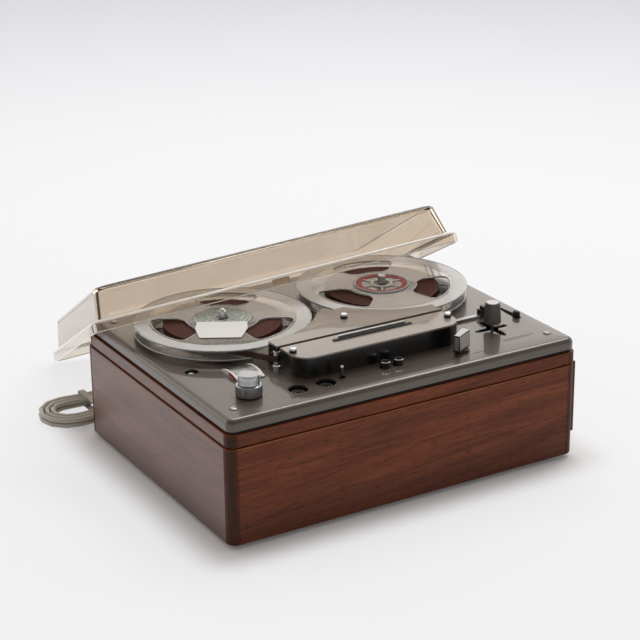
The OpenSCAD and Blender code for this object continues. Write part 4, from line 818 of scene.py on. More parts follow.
@dataclass
class Studio:
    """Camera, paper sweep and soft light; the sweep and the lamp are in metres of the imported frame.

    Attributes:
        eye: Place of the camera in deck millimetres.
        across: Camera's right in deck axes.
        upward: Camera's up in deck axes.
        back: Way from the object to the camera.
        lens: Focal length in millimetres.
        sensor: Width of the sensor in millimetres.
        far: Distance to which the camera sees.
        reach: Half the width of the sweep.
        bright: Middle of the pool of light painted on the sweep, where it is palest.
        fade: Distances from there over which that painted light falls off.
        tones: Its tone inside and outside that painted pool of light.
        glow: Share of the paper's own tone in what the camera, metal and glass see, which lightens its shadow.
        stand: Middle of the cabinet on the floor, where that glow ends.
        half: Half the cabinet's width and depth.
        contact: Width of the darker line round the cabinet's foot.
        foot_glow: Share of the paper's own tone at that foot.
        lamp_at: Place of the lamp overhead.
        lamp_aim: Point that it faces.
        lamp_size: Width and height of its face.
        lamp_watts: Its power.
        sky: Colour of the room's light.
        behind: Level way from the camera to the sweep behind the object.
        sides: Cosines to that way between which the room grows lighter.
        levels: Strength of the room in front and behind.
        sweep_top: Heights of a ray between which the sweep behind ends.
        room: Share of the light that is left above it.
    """

    eye: Triple = (-909.5, -1545.7, 829.0)
    across: Triple = (0.86186, -0.50701, -0.01178)
    upward: Triple = (0.19191, 0.30455, 0.93296)
    back: Triple = (-0.46943, -0.80634, 0.35978)
    lens: float = 107.59
    sensor: float = 36.0
    far: float = 100.0
    reach: float = 14.0
    bright: Triple = (0.1, 0.15, 0.0)
    fade: Pair = (0.6, 2.7)
    tones: tuple[str, str] = ("#FAFAFC", "#DFDEE5")
    glow: float = 0.72
    stand: Triple = (-0.0101, -0.1031, 0.0)
    half: Triple = (0.196, 0.155, 1.0)
    contact: float = 0.05
    foot_glow: float = 0.05
    lamp_at: Triple = (1.0, 0.7, 2.0)
    lamp_aim: Triple = (0.0, 0.0, 0.1)
    lamp_size: Pair = (2.0, 0.6)
    lamp_watts: float = 20.0
    sky: str = "#FFF9F3"
    behind: Triple = (0.503, 0.864, 0.0)
    sides: Pair = (-0.5, 0.65)
    levels: Pair = (0.5, 1.5)
    sweep_top: Pair = (0.355, 0.405)
    room: float = 0.55

    def camera(self) -> None:
        """Set the camera where the photograph was taken."""
        data = bpy.data.cameras.new("photo camera")
        data.lens, data.sensor_width, data.clip_end = self.lens, self.sensor, self.far
        camera = bpy.data.objects.new("photo_camera", data)
        axes = Matrix((self.across, self.upward, self.back)).transposed().to_4x4()
        camera.matrix_world = Matrix.Translation(metres(self.eye)) @ axes
        bpy.context.scene.collection.objects.link(camera)
        bpy.context.scene.camera = camera

    def paper(self) -> bpy.types.Material:
        """White paper: matt, with a painted pool of light round the object whose tone dims away from it, and a soft
        shadow that is darkest at the cabinet's foot.

        Returns:
            The sweep's material.
        """
        paper = bpy.data.materials.new("white paper sweep")
        paper.use_nodes = True
        tree = paper.node_tree
        tree.nodes.clear()
        where = add(tree, "ShaderNodeTexCoord").outputs["Object"]
        # The tone dims with distance from the object: a painted pool of light.
        apart = add(tree, "ShaderNodeVectorMath", {0: where, 1: self.bright}, operation="DISTANCE").outputs["Value"]
        dim = add(tree, "ShaderNodeMapRange", {"Value": apart, "From Min": self.fade[0], "From Max": self.fade[1]},
                  interpolation_type="SMOOTHSTEP").outputs[0]
        pale, grey = (srgb(code) for code in self.tones)
        tone = add(tree, "ShaderNodeMix", {MIX_SHARE: dim, MIX_FIRST: pale, MIX_SECOND: grey},
                   data_type="RGBA").outputs[MIX_RESULT]
        lit = add(tree, "ShaderNodeBsdfPrincipled", {"Base Color": tone, "Roughness": 0.9, "Specular IOR Level": 0.1})
        rays = add(tree, "ShaderNodeLightPath").outputs
        seen = rays["Is Camera Ray"]
        for ray in ("Is Glossy Ray", "Is Transmission Ray"):
            seen = add(tree, "ShaderNodeMath", {0: seen, 1: rays[ray]}, operation="MAXIMUM").outputs[0]
        gap = where
        for operation, value in (("SUBTRACT", self.stand), ("ABSOLUTE", ORIGIN), ("SUBTRACT", self.half),
                                 ("MAXIMUM", ORIGIN)):
            gap = add(tree, "ShaderNodeVectorMath", {0: gap, 1: value}, operation=operation).outputs[0]
        gap = add(tree, "ShaderNodeVectorMath", {0: gap}, operation="LENGTH").outputs["Value"]
        own = add(tree, "ShaderNodeMapRange", {"Value": gap, "From Min": 0.0, "From Max": self.contact,
                                               "To Min": self.foot_glow, "To Max": self.glow},
                  interpolation_type="SMOOTHSTEP").outputs[0]
        share = add(tree, "ShaderNodeMath", {0: seen, 1: own}, operation="MULTIPLY").outputs[0]
        shine = add(tree, "ShaderNodeEmission", {"Color": tone, "Strength": 1.0})
        both = add(tree, "ShaderNodeMixShader", {0: share, 1: lit.outputs[0], 2: shine.outputs[0]})
        add(tree, "ShaderNodeOutputMaterial", {0: both.outputs[0]})
        return paper

    def floor(self) -> None:
        """Lay the paper sweep, wide enough to fill the frame."""
        data = bpy.data.meshes.new("floor")
        corners = [(sx * self.reach, sy * self.reach, 0) for sx, sy in QUADRANTS]
        data.from_pydata(corners, [], [(0, 1, 2, 3)])
        floor = bpy.data.objects.new("floor", data)
        bpy.context.scene.collection.objects.link(floor)
        data.materials.append(self.paper())

    def lamp(self) -> None:
        """Hang the soft lamp overhead."""
        data = bpy.data.lights.new("overhead strip", "AREA")
        data.shape, data.energy = "RECTANGLE", self.lamp_watts
        data.size, data.size_y = self.lamp_size
        lamp = bpy.data.objects.new("overhead strip", data)
        lamp.location = self.lamp_at
        lamp.rotation_euler = (Vector(self.lamp_aim) - Vector(self.lamp_at)).to_track_quat("-Z", "Y").to_euler()
        bpy.context.scene.collection.objects.link(lamp)

    def light(self) -> None:
        """Light the object by the sweep behind it, with a dimmer room over the sweep and in front."""
        world = bpy.data.worlds.new("pale room")
        bpy.context.scene.world = world
        world.use_nodes = True
        tree = world.node_tree
        tree.nodes.clear()
        where = add(tree, "ShaderNodeTexCoord").outputs["Generated"]
        behind = add(tree, "ShaderNodeVectorMath", {0: where, 1: self.behind}, operation="DOT_PRODUCT").outputs["Value"]
        level = add(tree, "ShaderNodeMapRange", {"Value": behind, "From Min": self.sides[0], "From Max": self.sides[1],
                                                 "To Min": self.levels[0], "To Max": self.levels[1]},
                    interpolation_type="SMOOTHSTEP").outputs[0]
        height = add(tree, "ShaderNodeSeparateXYZ", {0: where}).outputs["Z"]
        dim = add(tree, "ShaderNodeMapRange", {"Value": height, "From Min": self.sweep_top[0],
                                               "From Max": self.sweep_top[1], "To Min": 1.0, "To Max": self.room},
                  interpolation_type="SMOOTHSTEP").outputs[0]
        strength = add(tree, "ShaderNodeMath", {0: level, 1: dim}, operation="MULTIPLY").outputs[0]
        sky = add(tree, "ShaderNodeBackground", {"Color": srgb(self.sky), "Strength": strength})
        add(tree, "ShaderNodeOutputWorld", {0: sky.outputs[0]})

    def build(self) -> None:
        """Set up camera, floor, lamp and room."""
        bpy.context.scene.view_settings.view_transform = "Standard"
        self.camera()
        self.floor()
        self.lamp()
        self.light()


def spline(points: Sequence[Vector], steps: int) -> list[Vector]:
    """Smooth curve through points, as the part's source draws it.

    Args:
        points: Points on the curve.
        steps: Points per stretch.

    Returns:
        Points along the curve.
    """
    found = []
    for i in range(len(points) - 1):
        a, b = points[max(i - 1, 0)], points[i]
        c, d = points[i + 1], points[min(i + 2, len(points) - 1)]
        for k in range(steps):
            t = k / steps
            found.append(0.5 * (2 * b + (c - a) * t + (2 * a - 5 * b + 4 * c - d) * t * t
                                + (3 * b - a - 3 * c + d) * t ** 3))
    return found + [points[-1]]


@dataclass
class MainsLead:
    """Mains lead with its gland, hank, tie and plug.

    Attributes:
        gland: Where the lead leaves the cabinet's back.
        hank: Middle of the hank.
        loops: Loops in the hank.
        run: Straight length of its runs.
        fold: Radius of its tightest fold.
        step: Step between its loops.
        layer: Step between its layers.
        waist: Share by which it is drawn in at the tie.
        pull: Square millimetres over which that dies away.
        thick: Diameter of the lead.
        low: Height of the lower layer's middle.
        facets: Points in one loop.
    """

    gland: Triple = (-40.0, 155.5, 20.0)
    hank: Pair = (-172.0, 206.0)
    loops: float = 5.75
    run: float = 56.0
    fold: float = 15.0
    step: float = 6.4
    layer: float = 5.9
    waist: float = 0.1
    pull: float = 250.0
    thick: float = 5.0
    low: float = 3.5
    facets: int = 24

    def hank_point(self, t: float) -> Vector:
        """A point of the hank.

        Args:
            t: Count of loops from the start on the rear run.

        Returns:
            The point in deck millimetres.
        """
        half, u = self.loops / 2, t % 1.0
        r = self.fold + self.step * abs(half - t)
        part = int(u * 4)
        v, reach = u * 4 - part, self.run / 2
        s, c = math.sin(math.pi * v), math.cos(math.pi * v)
        along = reach - 2 * reach * v
        x, y = ((along, r), (-reach - r * s, r * c), (-along, -r), (reach + r * s, -r * c))[part]
        climb = min(max((t - half) * 2 + 0.5, 0.0), 1.0)
        return Vector((self.hank[0] + x, self.hank[1] + y * (1 - self.waist * math.exp(-x * x / self.pull)),
                       self.low + self.layer * climb * climb * (3 - 2 * climb)))

    def path(self) -> list[Vector]:
        """Route of the whole lead, from inside its gland to the plug.

        Returns:
            Points in deck millimetres.
        """
        gx, gy, gz = self.gland
        end = self.hank_point(0.0)
        free = [Vector(p) for p in (
            (gx, gy + 18, gz), (gx, gy + 25, gz), (gx - 0.5, gy + 34, gz - 1.2), (gx - 3, gy + 46, 16),
            (gx - 12, gy + 62, 11), (gx - 28, gy + 74, 6.5), (gx - 50, end.y + 1, 3.6),
            (gx - 72, end.y + 1.5, self.low), (end.x + 12, end.y + 0.3, self.low), tuple(end))]
        count = math.floor(self.loops * self.facets)
        loops = [self.hank_point(i / self.facets) for i in range(1, count + 1)]
        tail = [loops[-1] + Vector((8.0 * i, 0, 0)) for i in (1, 2, 3)]
        return spline(free, 4) + loops + tail

    def build(self) -> None:
        """Lay the lead as one curve, and dress the pieces on it."""
        points = [metres(p) for p in self.path()]
        data = bpy.data.curves.new("mains_lead", "CURVE")
        data.dimensions, data.bevel_depth, data.bevel_resolution = "3D", self.thick / 2 * MM, 3
        data.use_fill_caps = True
        line = data.splines.new("POLY")
        line.points.add(len(points) - 1)
        for spot, p in zip(line.points, points):
            spot.co = (*p, 1.0)
        data.materials.append(VINYL.material())
        lead = bpy.data.objects.new("mains_lead", data)
        bpy.context.scene.collection.objects.link(lead)
        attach(lead, "recorder")
        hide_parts("mains_cord", "cord_hank")
        plug = settle("plug_body", Mesh().solid("mains_plug"), VINYL, stands_for=["mains_plug"], bevel=0.8)
        tie = settle("lead_tie", Mesh().solid("cord_tie"), TIE_VINYL, stands_for=["cord_tie"], bevel=0.25)


@dataclass
class Cabinet:
    """Veneered cabinet with its corner posts, shadow groove and speaker grille.

    Attributes:
        body: Width and depth of the four sides.
        shift: How far the sides' middle lies off the deck's.
        rim: Width and depth of the rim over the groove.
        inner: Width and depth inside.
        corner: Radius of the corner posts.
        foot: Height of the lower edge.
        soft: Rounding of the lower edge.
        groove: Lower and upper edge of the groove.
        groove_deep: Depth of the groove.
        top: Height of the rim's top.
        seam: Half the width and the depth of the seams beside the posts.
        highlight_radius: Radius of the pale bead along the front edge under the groove, a painted highlight.
        grille: Face that the grille stands on, its length and its height.
        grille_z: Height of the grille's lower edge.
        grille_t: Thickness of the grille.
        rail: Height of the grille's rails.
        cloth_in: How far the cloth stays in from the grille's edges.
        slot_pitch: Distance from slot to slot.
        slot_width: Width of a slot.
        slots: Number of slots.
        steps: Faces round a corner post.
    """

    body: Pair = (391.4, 311.0)
    shift: float = -1.5
    rim: Pair = (391.4, 308.0)
    inner: Pair = (366.4, 283.0)
    corner: float = 9.0
    foot: float = 4.5
    soft: float = 1.3
    groove: Pair = (101.3, 102.1)
    groove_deep: float = 2.5
    top: float = 114.7
    seam: Pair = (0.45, 0.6)
    highlight_radius: float = 0.4
    grille: Triple = (194.2, 290.0, 76.0)
    grille_z: float = 23.5
    grille_t: float = 7.0
    rail: float = 12.0
    cloth_in: float = 8.0
    slot_pitch: float = 9.0
    slot_width: float = 3.4
    slots: int = 29
    steps: int = 8

    def ring(self, size: Pair, inset: float, z: float, shift: float = 0.0) -> list[Triple]:
        """Ring of the skin with a fine seam on each side of the corner posts.

        Args:
            size: Width and depth.
            inset: How far the ring is drawn in.
            z: Height of the ring.
            shift: Place of its middle along X.

        Returns:
            Points of the ring, anticlockwise from the middle of the back.
        """
        w, d, r = size[0] / 2 - inset, size[1] / 2 - inset, max(self.corner - inset, 1.0)
        seam, deep = self.seam
        points: list[Triple] = [(shift, d, z)]
        for k, (sx, sy) in enumerate(QUADRANTS):
            middle = Vector((sx * (w - r), sy * (d - r), 0.0))
            way = [Vector((math.cos(t), math.sin(t), 0.0)) for t in
                   (math.radians(90 * (k + 1 + i / self.steps)) for i in range(self.steps + 1))]
            first, last = middle + r * way[0], middle + r * way[-1]
            ahead, behind = Vector((-way[0].y, way[0].x, 0.0)), Vector((way[-1].y, -way[-1].x, 0.0))
            row = [first - 2 * seam * ahead, first - seam * ahead - deep * way[0]]
            row += [middle + r * a for a in way]
            row += [last - seam * behind - deep * way[-1], last - 2 * seam * behind]
            points += [(p.x + shift, p.y, z) for p in row]
        return points

    def shell(self) -> None:
        """Loft the four sides as one skin, with a pale line of painted highlight along the front edge under its groove.
        """
        low, (g0, g1), soft, deep = self.foot, self.groove, self.soft, self.groove_deep
        body = [(soft, low), (soft * 0.3, low + soft * 0.3), (0.0, low + soft), (0.0, g0 - 0.7), (0.25, g0 - 0.2),
                (0.7, g0)]
        rim = [(deep, g0), (deep, g1), (0.5, g1), (0.1, g1 + 0.2), (0.0, g1 + 0.6), (0.0, self.top - 0.6),
               (0.2, self.top - 0.2), (0.6, self.top)]
        rings = [self.ring(self.body, inset, z, self.shift) for inset, z in body]
        rings += [self.ring(self.rim, inset, z) for inset, z in rim]
        rings += [self.ring(self.inner, 0.0, z) for z in (self.top, low)]
        settle("veneered_shell", Mesh().loft(rings, close=True, uv=True), TEAK, stands_for=["cabinet_shell"])
        # A pale bead along the front edge under the groove: a painted highlight.
        reach, y, z = self.body[0] / 2 - self.corner, -self.body[1] / 2 + 0.3, g0 - 0.3
        turns = [math.tau * k / 8 for k in range(8)]
        rod = [[(self.shift + s * reach, y + self.highlight_radius * math.cos(t), z + self.highlight_radius * math.sin(t)) for t in turns]
               for s in (-1, 1)]
        settle("groove_edge_highlight", Mesh().loft(rod), TEAK_EDGE_HIGHLIGHT, crease=60)

    def bands(self) -> tuple[tuple[Pair, float, float, float], ...]:
        """Size, shift, lower and upper edge of the flat faces under and over the groove."""
        return ((self.body, self.shift, self.foot + 1.4, self.groove[0] - 0.8),
                (self.rim, 0.0, self.groove[1] + 0.7, self.top - 0.7))

    def sides(self) -> None:
        """Face the left and right sides with panels of a darker, glossier copy of the veneer, the darker colour painted
        shade.
        """
        panels = Mesh()
        for size, shift, low, high in self.bands():
            w, d = size[0] / 2, size[1] / 2 - self.corner - 1.0
            for s in (-1, 1):
                x0, x1 = sorted((shift + s * (w + 0.05), shift + s * (w - 0.5)))
                panels.block((x0, -d, low), (x1, d, high))
        # The sides' darker colour is painted shade.
        settle("side_panels", panels, TEAK_SIDE_SHADED)

    def posts(self) -> None:
        """Face the four corners with darker strips of upright grain."""
        strips = Mesh()
        for size, shift, low, high in self.bands():
            w, d, r = size[0] / 2, size[1] / 2, self.corner
            for k, (sx, sy) in enumerate(QUADRANTS):
                middle = (sx * (w - r) + shift, sy * (d - r))
                start, end = 90 * (k + 1) + 4, 90 * (k + 1) + 86
                strips.prism(arc(middle, r + 0.06, start, end, 10) + arc(middle, r - 1, end, start, 10), low, high)
        settle("corner_posts", strips, TEAK_POST)

    def speaker(self) -> None:
        """Set the slats in their rails over the speaker cloth."""
        x0, length, height = self.grille
        x1, z0, edge, half = x0 + self.grille_t, self.grille_z, self.rail, length / 2
        frame = Mesh()
        for z in (z0, z0 + height - edge):
            frame.block((x0, -half, z), (x1, half, z + edge))
        first = -(self.slots - 1) / 2 * self.slot_pitch
        reach = self.slot_width / 2 - first
        for s in (-1, 1):
            y0, y1 = sorted((s * half, s * reach))
            frame.block((x0, y0, z0 + edge), (x1, y1, z0 + height - edge))
        settle("grille_frame", frame, TEAK_SLAT, stands_for=["speaker_grille"], bevel=0.6)
        wide, t = (self.slot_pitch - self.slot_width) / 2, self.grille_t
        slat = Mesh().prism([(0, -wide), (t - 0.8, -wide), (t - 0.2, -wide * 0.6), (t, 0), (t - 0.2, wide * 0.6),
                             (t - 0.8, wide), (0, wide)], 0, height - 2 * edge)
        Repeat("grille_slats", self.slots - 1, (x0, first + self.slot_pitch / 2, z0 + edge),
               step=(0, self.slot_pitch, 0)).settle(slat, TEAK_SLAT)
        inside = self.cloth_in
        cloth = Mesh().block((x0 + 0.05, -half + inside, z0 + inside), (x0 + 0.6, half - inside, z0 + height - inside))
        settle("speaker_cloth", cloth, CLOTH)

    def build(self) -> None:
        """Make the cabinet."""
        self.shell()
        self.sides()
        self.posts()
        self.speaker()


@dataclass
class Deck:
    """Enamelled deck pan with its printing, sockets and trim screw.

    Attributes:
        ink: Lower and upper face of the printing, from the deck's.
        slider: Rest place of the tone slider.
        travel: Its travel.
        rules: Left end, right end and Y of each printed rule.
        rule_half: Half the width of a rule.
        stick: Axis of the joystick, with its printed petals.
        petals: Turn in degrees, end of the deck's slot and tip of each petal.
        level: Axis of the level knobs, with their scale round it.
        screws: Places of the deck's screws, each way from the middle.
        sockets: Places of the sockets.
        trim: Place of the trim screw.
    """

    ink: Pair = (-0.05, 0.06)
    slider: Pair = (178.0, -75.0)
    travel: float = 22.0
    rules: tuple[Triple, ...] = (
        (-46, -20, -123.4), (-116, -94, -134.5), (-84, -66, -134.5), (-14, 16, -128.6), (58, 72, -134.0),
        (84, 98, -134.0), (128, 166, -121.0), (128, 158, -124.0), (-171, -163, -118.0))
    rule_half: float = 0.28
    stick: Pair = STICK_AXIS
    petals: tuple[Triple, ...] = ((0, 17.1, 17.6), (90, 20.1, 20.6), (180, 17.1, 20.4), (270, 20.1, 22.8))
    level: Pair = LEVEL_AXIS
    screws: Pair = (176.5, 128.8)
    sockets: tuple[Pair, ...] = ((-104.0, -120.0), (-74.0, -120.0))
    trim: Pair = (-169.5, -30.2)

    def prints(self) -> None:
        """Print the slider's wedge, plain rules, the joystick's petals and the level scale, and lay painted shadows
        round the screws.
        """
        x, y = self.slider
        low, high = (Z_DECK + z for z in self.ink)
        right = [(3.4, y - 5), (3.2, y + 12), (1.4, y + self.travel + 9)]
        plan = [(x + a, b) for a, b in right] + [(x - a, b) for a, b in reversed(right)]
        settle("slider_wedge", Mesh().prism(plan, low, high + 0.05), INK)
        rules = Mesh()
        for x0, x1, y0 in self.rules:
            rules.block((x0, y0 - self.rule_half, low), (x1, y0 + self.rule_half, high))
        settle("printed_rules", rules, INK)
        petals = Mesh()
        x, y = self.stick
        for turn, slot, tip in self.petals:
            c, s = math.cos(math.radians(turn)), math.sin(math.radians(turn))
            plans = [[(6.2, side * 2.35), (slot, side * 2.35), (slot, side * 2.9), (9.0, side * 3.5), (5.9, side * 3.3)]
                     for side in (-1, 1)]
            for plan in plans + [[(slot, -2.9), (tip, -1.2), (tip, 1.2), (slot, 2.9)]]:
                petals.prism([(x + a * c - b * s, y + a * s + b * c) for a, b in plan], low, high)
        settle("joystick_petals", petals, INK)
        tick = Mesh().block((15.4, -0.3, self.ink[0]), (17.2, 0.3, self.ink[1]))
        tick.moved(Matrix.Rotation(math.radians(-45), 4, "Z"))
        Repeat("level_scale", 11, (*self.level, Z_DECK), turn=27).settle(tick, INK)
        # Dark rings round the deck's screws in the printing ink: painted shadow.
        rings = Mesh()
        for sx in (-1, 1):
            for sy in (-1, 1):
                rings.revolve(tube(3.2, 4.1, *self.ink), (sx * self.screws[0], sy * self.screws[1]), 40, Z_DECK)
        settle("screw_shadows", rings, INK)

    def openings(self) -> None:
        """Fit the sockets' stepped inserts with grey rings of painted highlight on their steps, and the trim screw in
        its dark dish.
        """
        walls, inserts, rings = Mesh(), Mesh(), Mesh()
        z = Z_DECK
        for at in self.sockets:
            walls.revolve([(9.75, -0.3), (9.2, -0.25), (8.9, -0.6), (8.7, -4.2), (6.4, -4.4), (6.4, -9), (9.75, -9),
                           (9.75, -0.3)], at, 56, z)
            inserts.revolve([(0, -6.0), (1.2, -6.0), (1.4, -4.6), (3.0, -4.4), (3.1, -4.0), (4.5, -3.9), (4.7, -3.5),
                             (6.0, -3.4), (6.3, -3.7), (6.3, -8.5), (0, -8.5)], at, 48, z)
            # Grey rings on the inserts' steps: a painted highlight.
            rings.revolve(tube(5.3, 6.1, -3.45, -3.2), at, 48, z)
            rings.revolve(tube(2.6, 3.4, -4.05, -3.75), at, 32, z)
        settle("socket_wells", walls, BLACK, stands_for=["mic_sockets"])
        settle("socket_inserts", inserts, BLACK)
        settle("socket_step_highlights", rings, GREY)
        dish = [(6.75, -0.1), (6.5, 0.02), (6.0, -0.2), (5.2, -4.2), (3.4, -4.4), (3.4, -7), (6.75, -7), (6.75, -0.1)]
        settle("trim_dish", Mesh().revolve(dish, self.trim, 48, z), BLACK, stands_for=["trim_screw"])
        x, y = self.trim
        head = Mesh()
        plan = ((-3.1, 0.5), (3.1, 0.5), (2.7, 1.7), (1.6, 2.75), (0, 3.15), (-1.6, 2.75), (-2.7, 1.7))
        for s in (-1, 1):
            half = [(x + a, y + s * b) for a, b in plan]
            head.prism(half[::s], z - 6.5, z - 1.6)
        head.revolve([(0, -6.5), (3.15, -6.5), (3.15, -2.4), (0, -2.4)], self.trim, 40, z)
        settle("trim_screw_head", head, CHROME, bevel=0.2)

    def build(self) -> None:
        """Shade the pan cleanly and fit what lies in it."""
        settle("deck_pan", Mesh().solid("deck_plate"), ENAMEL, stands_for=["deck_plate"])
        self.prints()
        self.openings()


@dataclass
class HeadCover:
    """Two-part head cover: black walls, enamelled plates, thumbscrews and a blank name bar.

    Attributes:
        thumbs: Places of the thumbscrews.
        thumb_r: Radius of a thumbscrew's collar.
        thumb_h: Height of a thumbscrew.
        knurls: Number of ribs on a collar.
        half: Half the width of the front plate.
        front: Front and back edge of that plate.
        swept: Radius of its front corners.
        sheet: Thickness of the plates.
        bar: Corners of the black bar, from the cover's top.
        strip: Corners of the bright strip behind it.
    """

    thumbs: tuple[Pair, ...] = ((-88.0, -83.0), (88.0, -83.0), (0.0, -30.6))
    thumb_r: float = 3.7
    thumb_h: float = 4.9
    knurls: int = 24
    half: float = 92.8
    front: Pair = (-104.1, -66.7)
    swept: float = 17.6
    sheet: float = 1.8
    bar: tuple[Triple, Triple] = ((-41, -80.4, 0), (48, -76.6, 1.3))
    strip: tuple[Triple, Triple] = ((-34, -77.2, 0), (42, -75.2, 3.3))

    def plate(self) -> None:
        """Make the front plate with softened edges."""
        low, high = self.front
        rows = []
        for inset, z in ((0.0, -self.sheet), (0.0, -0.4), (0.12, -0.12), (0.4, 0.0)):
            w, r = self.half - inset, self.swept - inset
            plan = arc((-w + r, low + inset + r), r, 180, 270, 12) + arc((w - r, low + inset + r), r, 270, 360, 12)
            rows.append([(x, y, Z_COVER + z) for x, y in plan + [(w, high - inset), (-w, high - inset)]])
        settle("front_cover_top", Mesh().loft(rows), PALE_ENAMEL, stands_for=["front_cover_plate"])

    def screws(self) -> None:
        """Make the thumbscrews: bright caps on knurled black collars."""
        caps, collars = Mesh(), Mesh()
        r, h = self.thumb_r, self.thumb_h
        cap = [(0, h * 0.4), (r - 0.4, h * 0.4), (r - 0.25, h * 0.46), (r - 0.3, h * 0.82), (r - 0.6, h * 0.94),
               (r - 1.2, h), (0, h)]
        collar = [(0, -5), (1.5, -5), (1.5, 0), (r - 0.3, 0), (r - 0.3, h * 0.36), (r - 0.9, h * 0.45), (0, h * 0.45)]
        for at in self.thumbs:
            caps.revolve(cap, at, 40, Z_COVER)
            collars.revolve(collar, at, 32, Z_COVER)
        settle("thumb_caps", caps, CHROME, stands_for=["thumb_screws"])
        settle("thumb_collars", collars, BLACK)
        for i, at in enumerate(self.thumbs):
            rib = Mesh().block((r - 0.5, -0.22, 0.2), (r, 0.22, h * 0.36))
            Repeat(f"thumb_knurl_{i}", self.knurls, (*at, Z_COVER), turn=360 / self.knurls).settle(rib, BLACK)

    def build(self) -> None:
        """Make the cover's pieces."""
        for side in ("rear", "front"):
            walls = Mesh().solid(f"{side}_head_cover")
            settle(f"{side}_cover_walls", walls, BLACK, stands_for=[f"{side}_head_cover"])
        settle("rear_cover_top", Mesh().solid("rear_cover_plate"), PALE_ENAMEL, stands_for=["rear_cover_plate"])
        self.plate()
        self.screws()
        lift = Matrix.Translation((0.0, 0.0, Z_COVER))
        settle("blank_name_bar", Mesh().block(*self.bar).moved(lift), BLACK, bevel=0.3)
        settle("bright_name_strip", Mesh().block(*self.strip).moved(lift), ALUMINIUM, bevel=0.25)


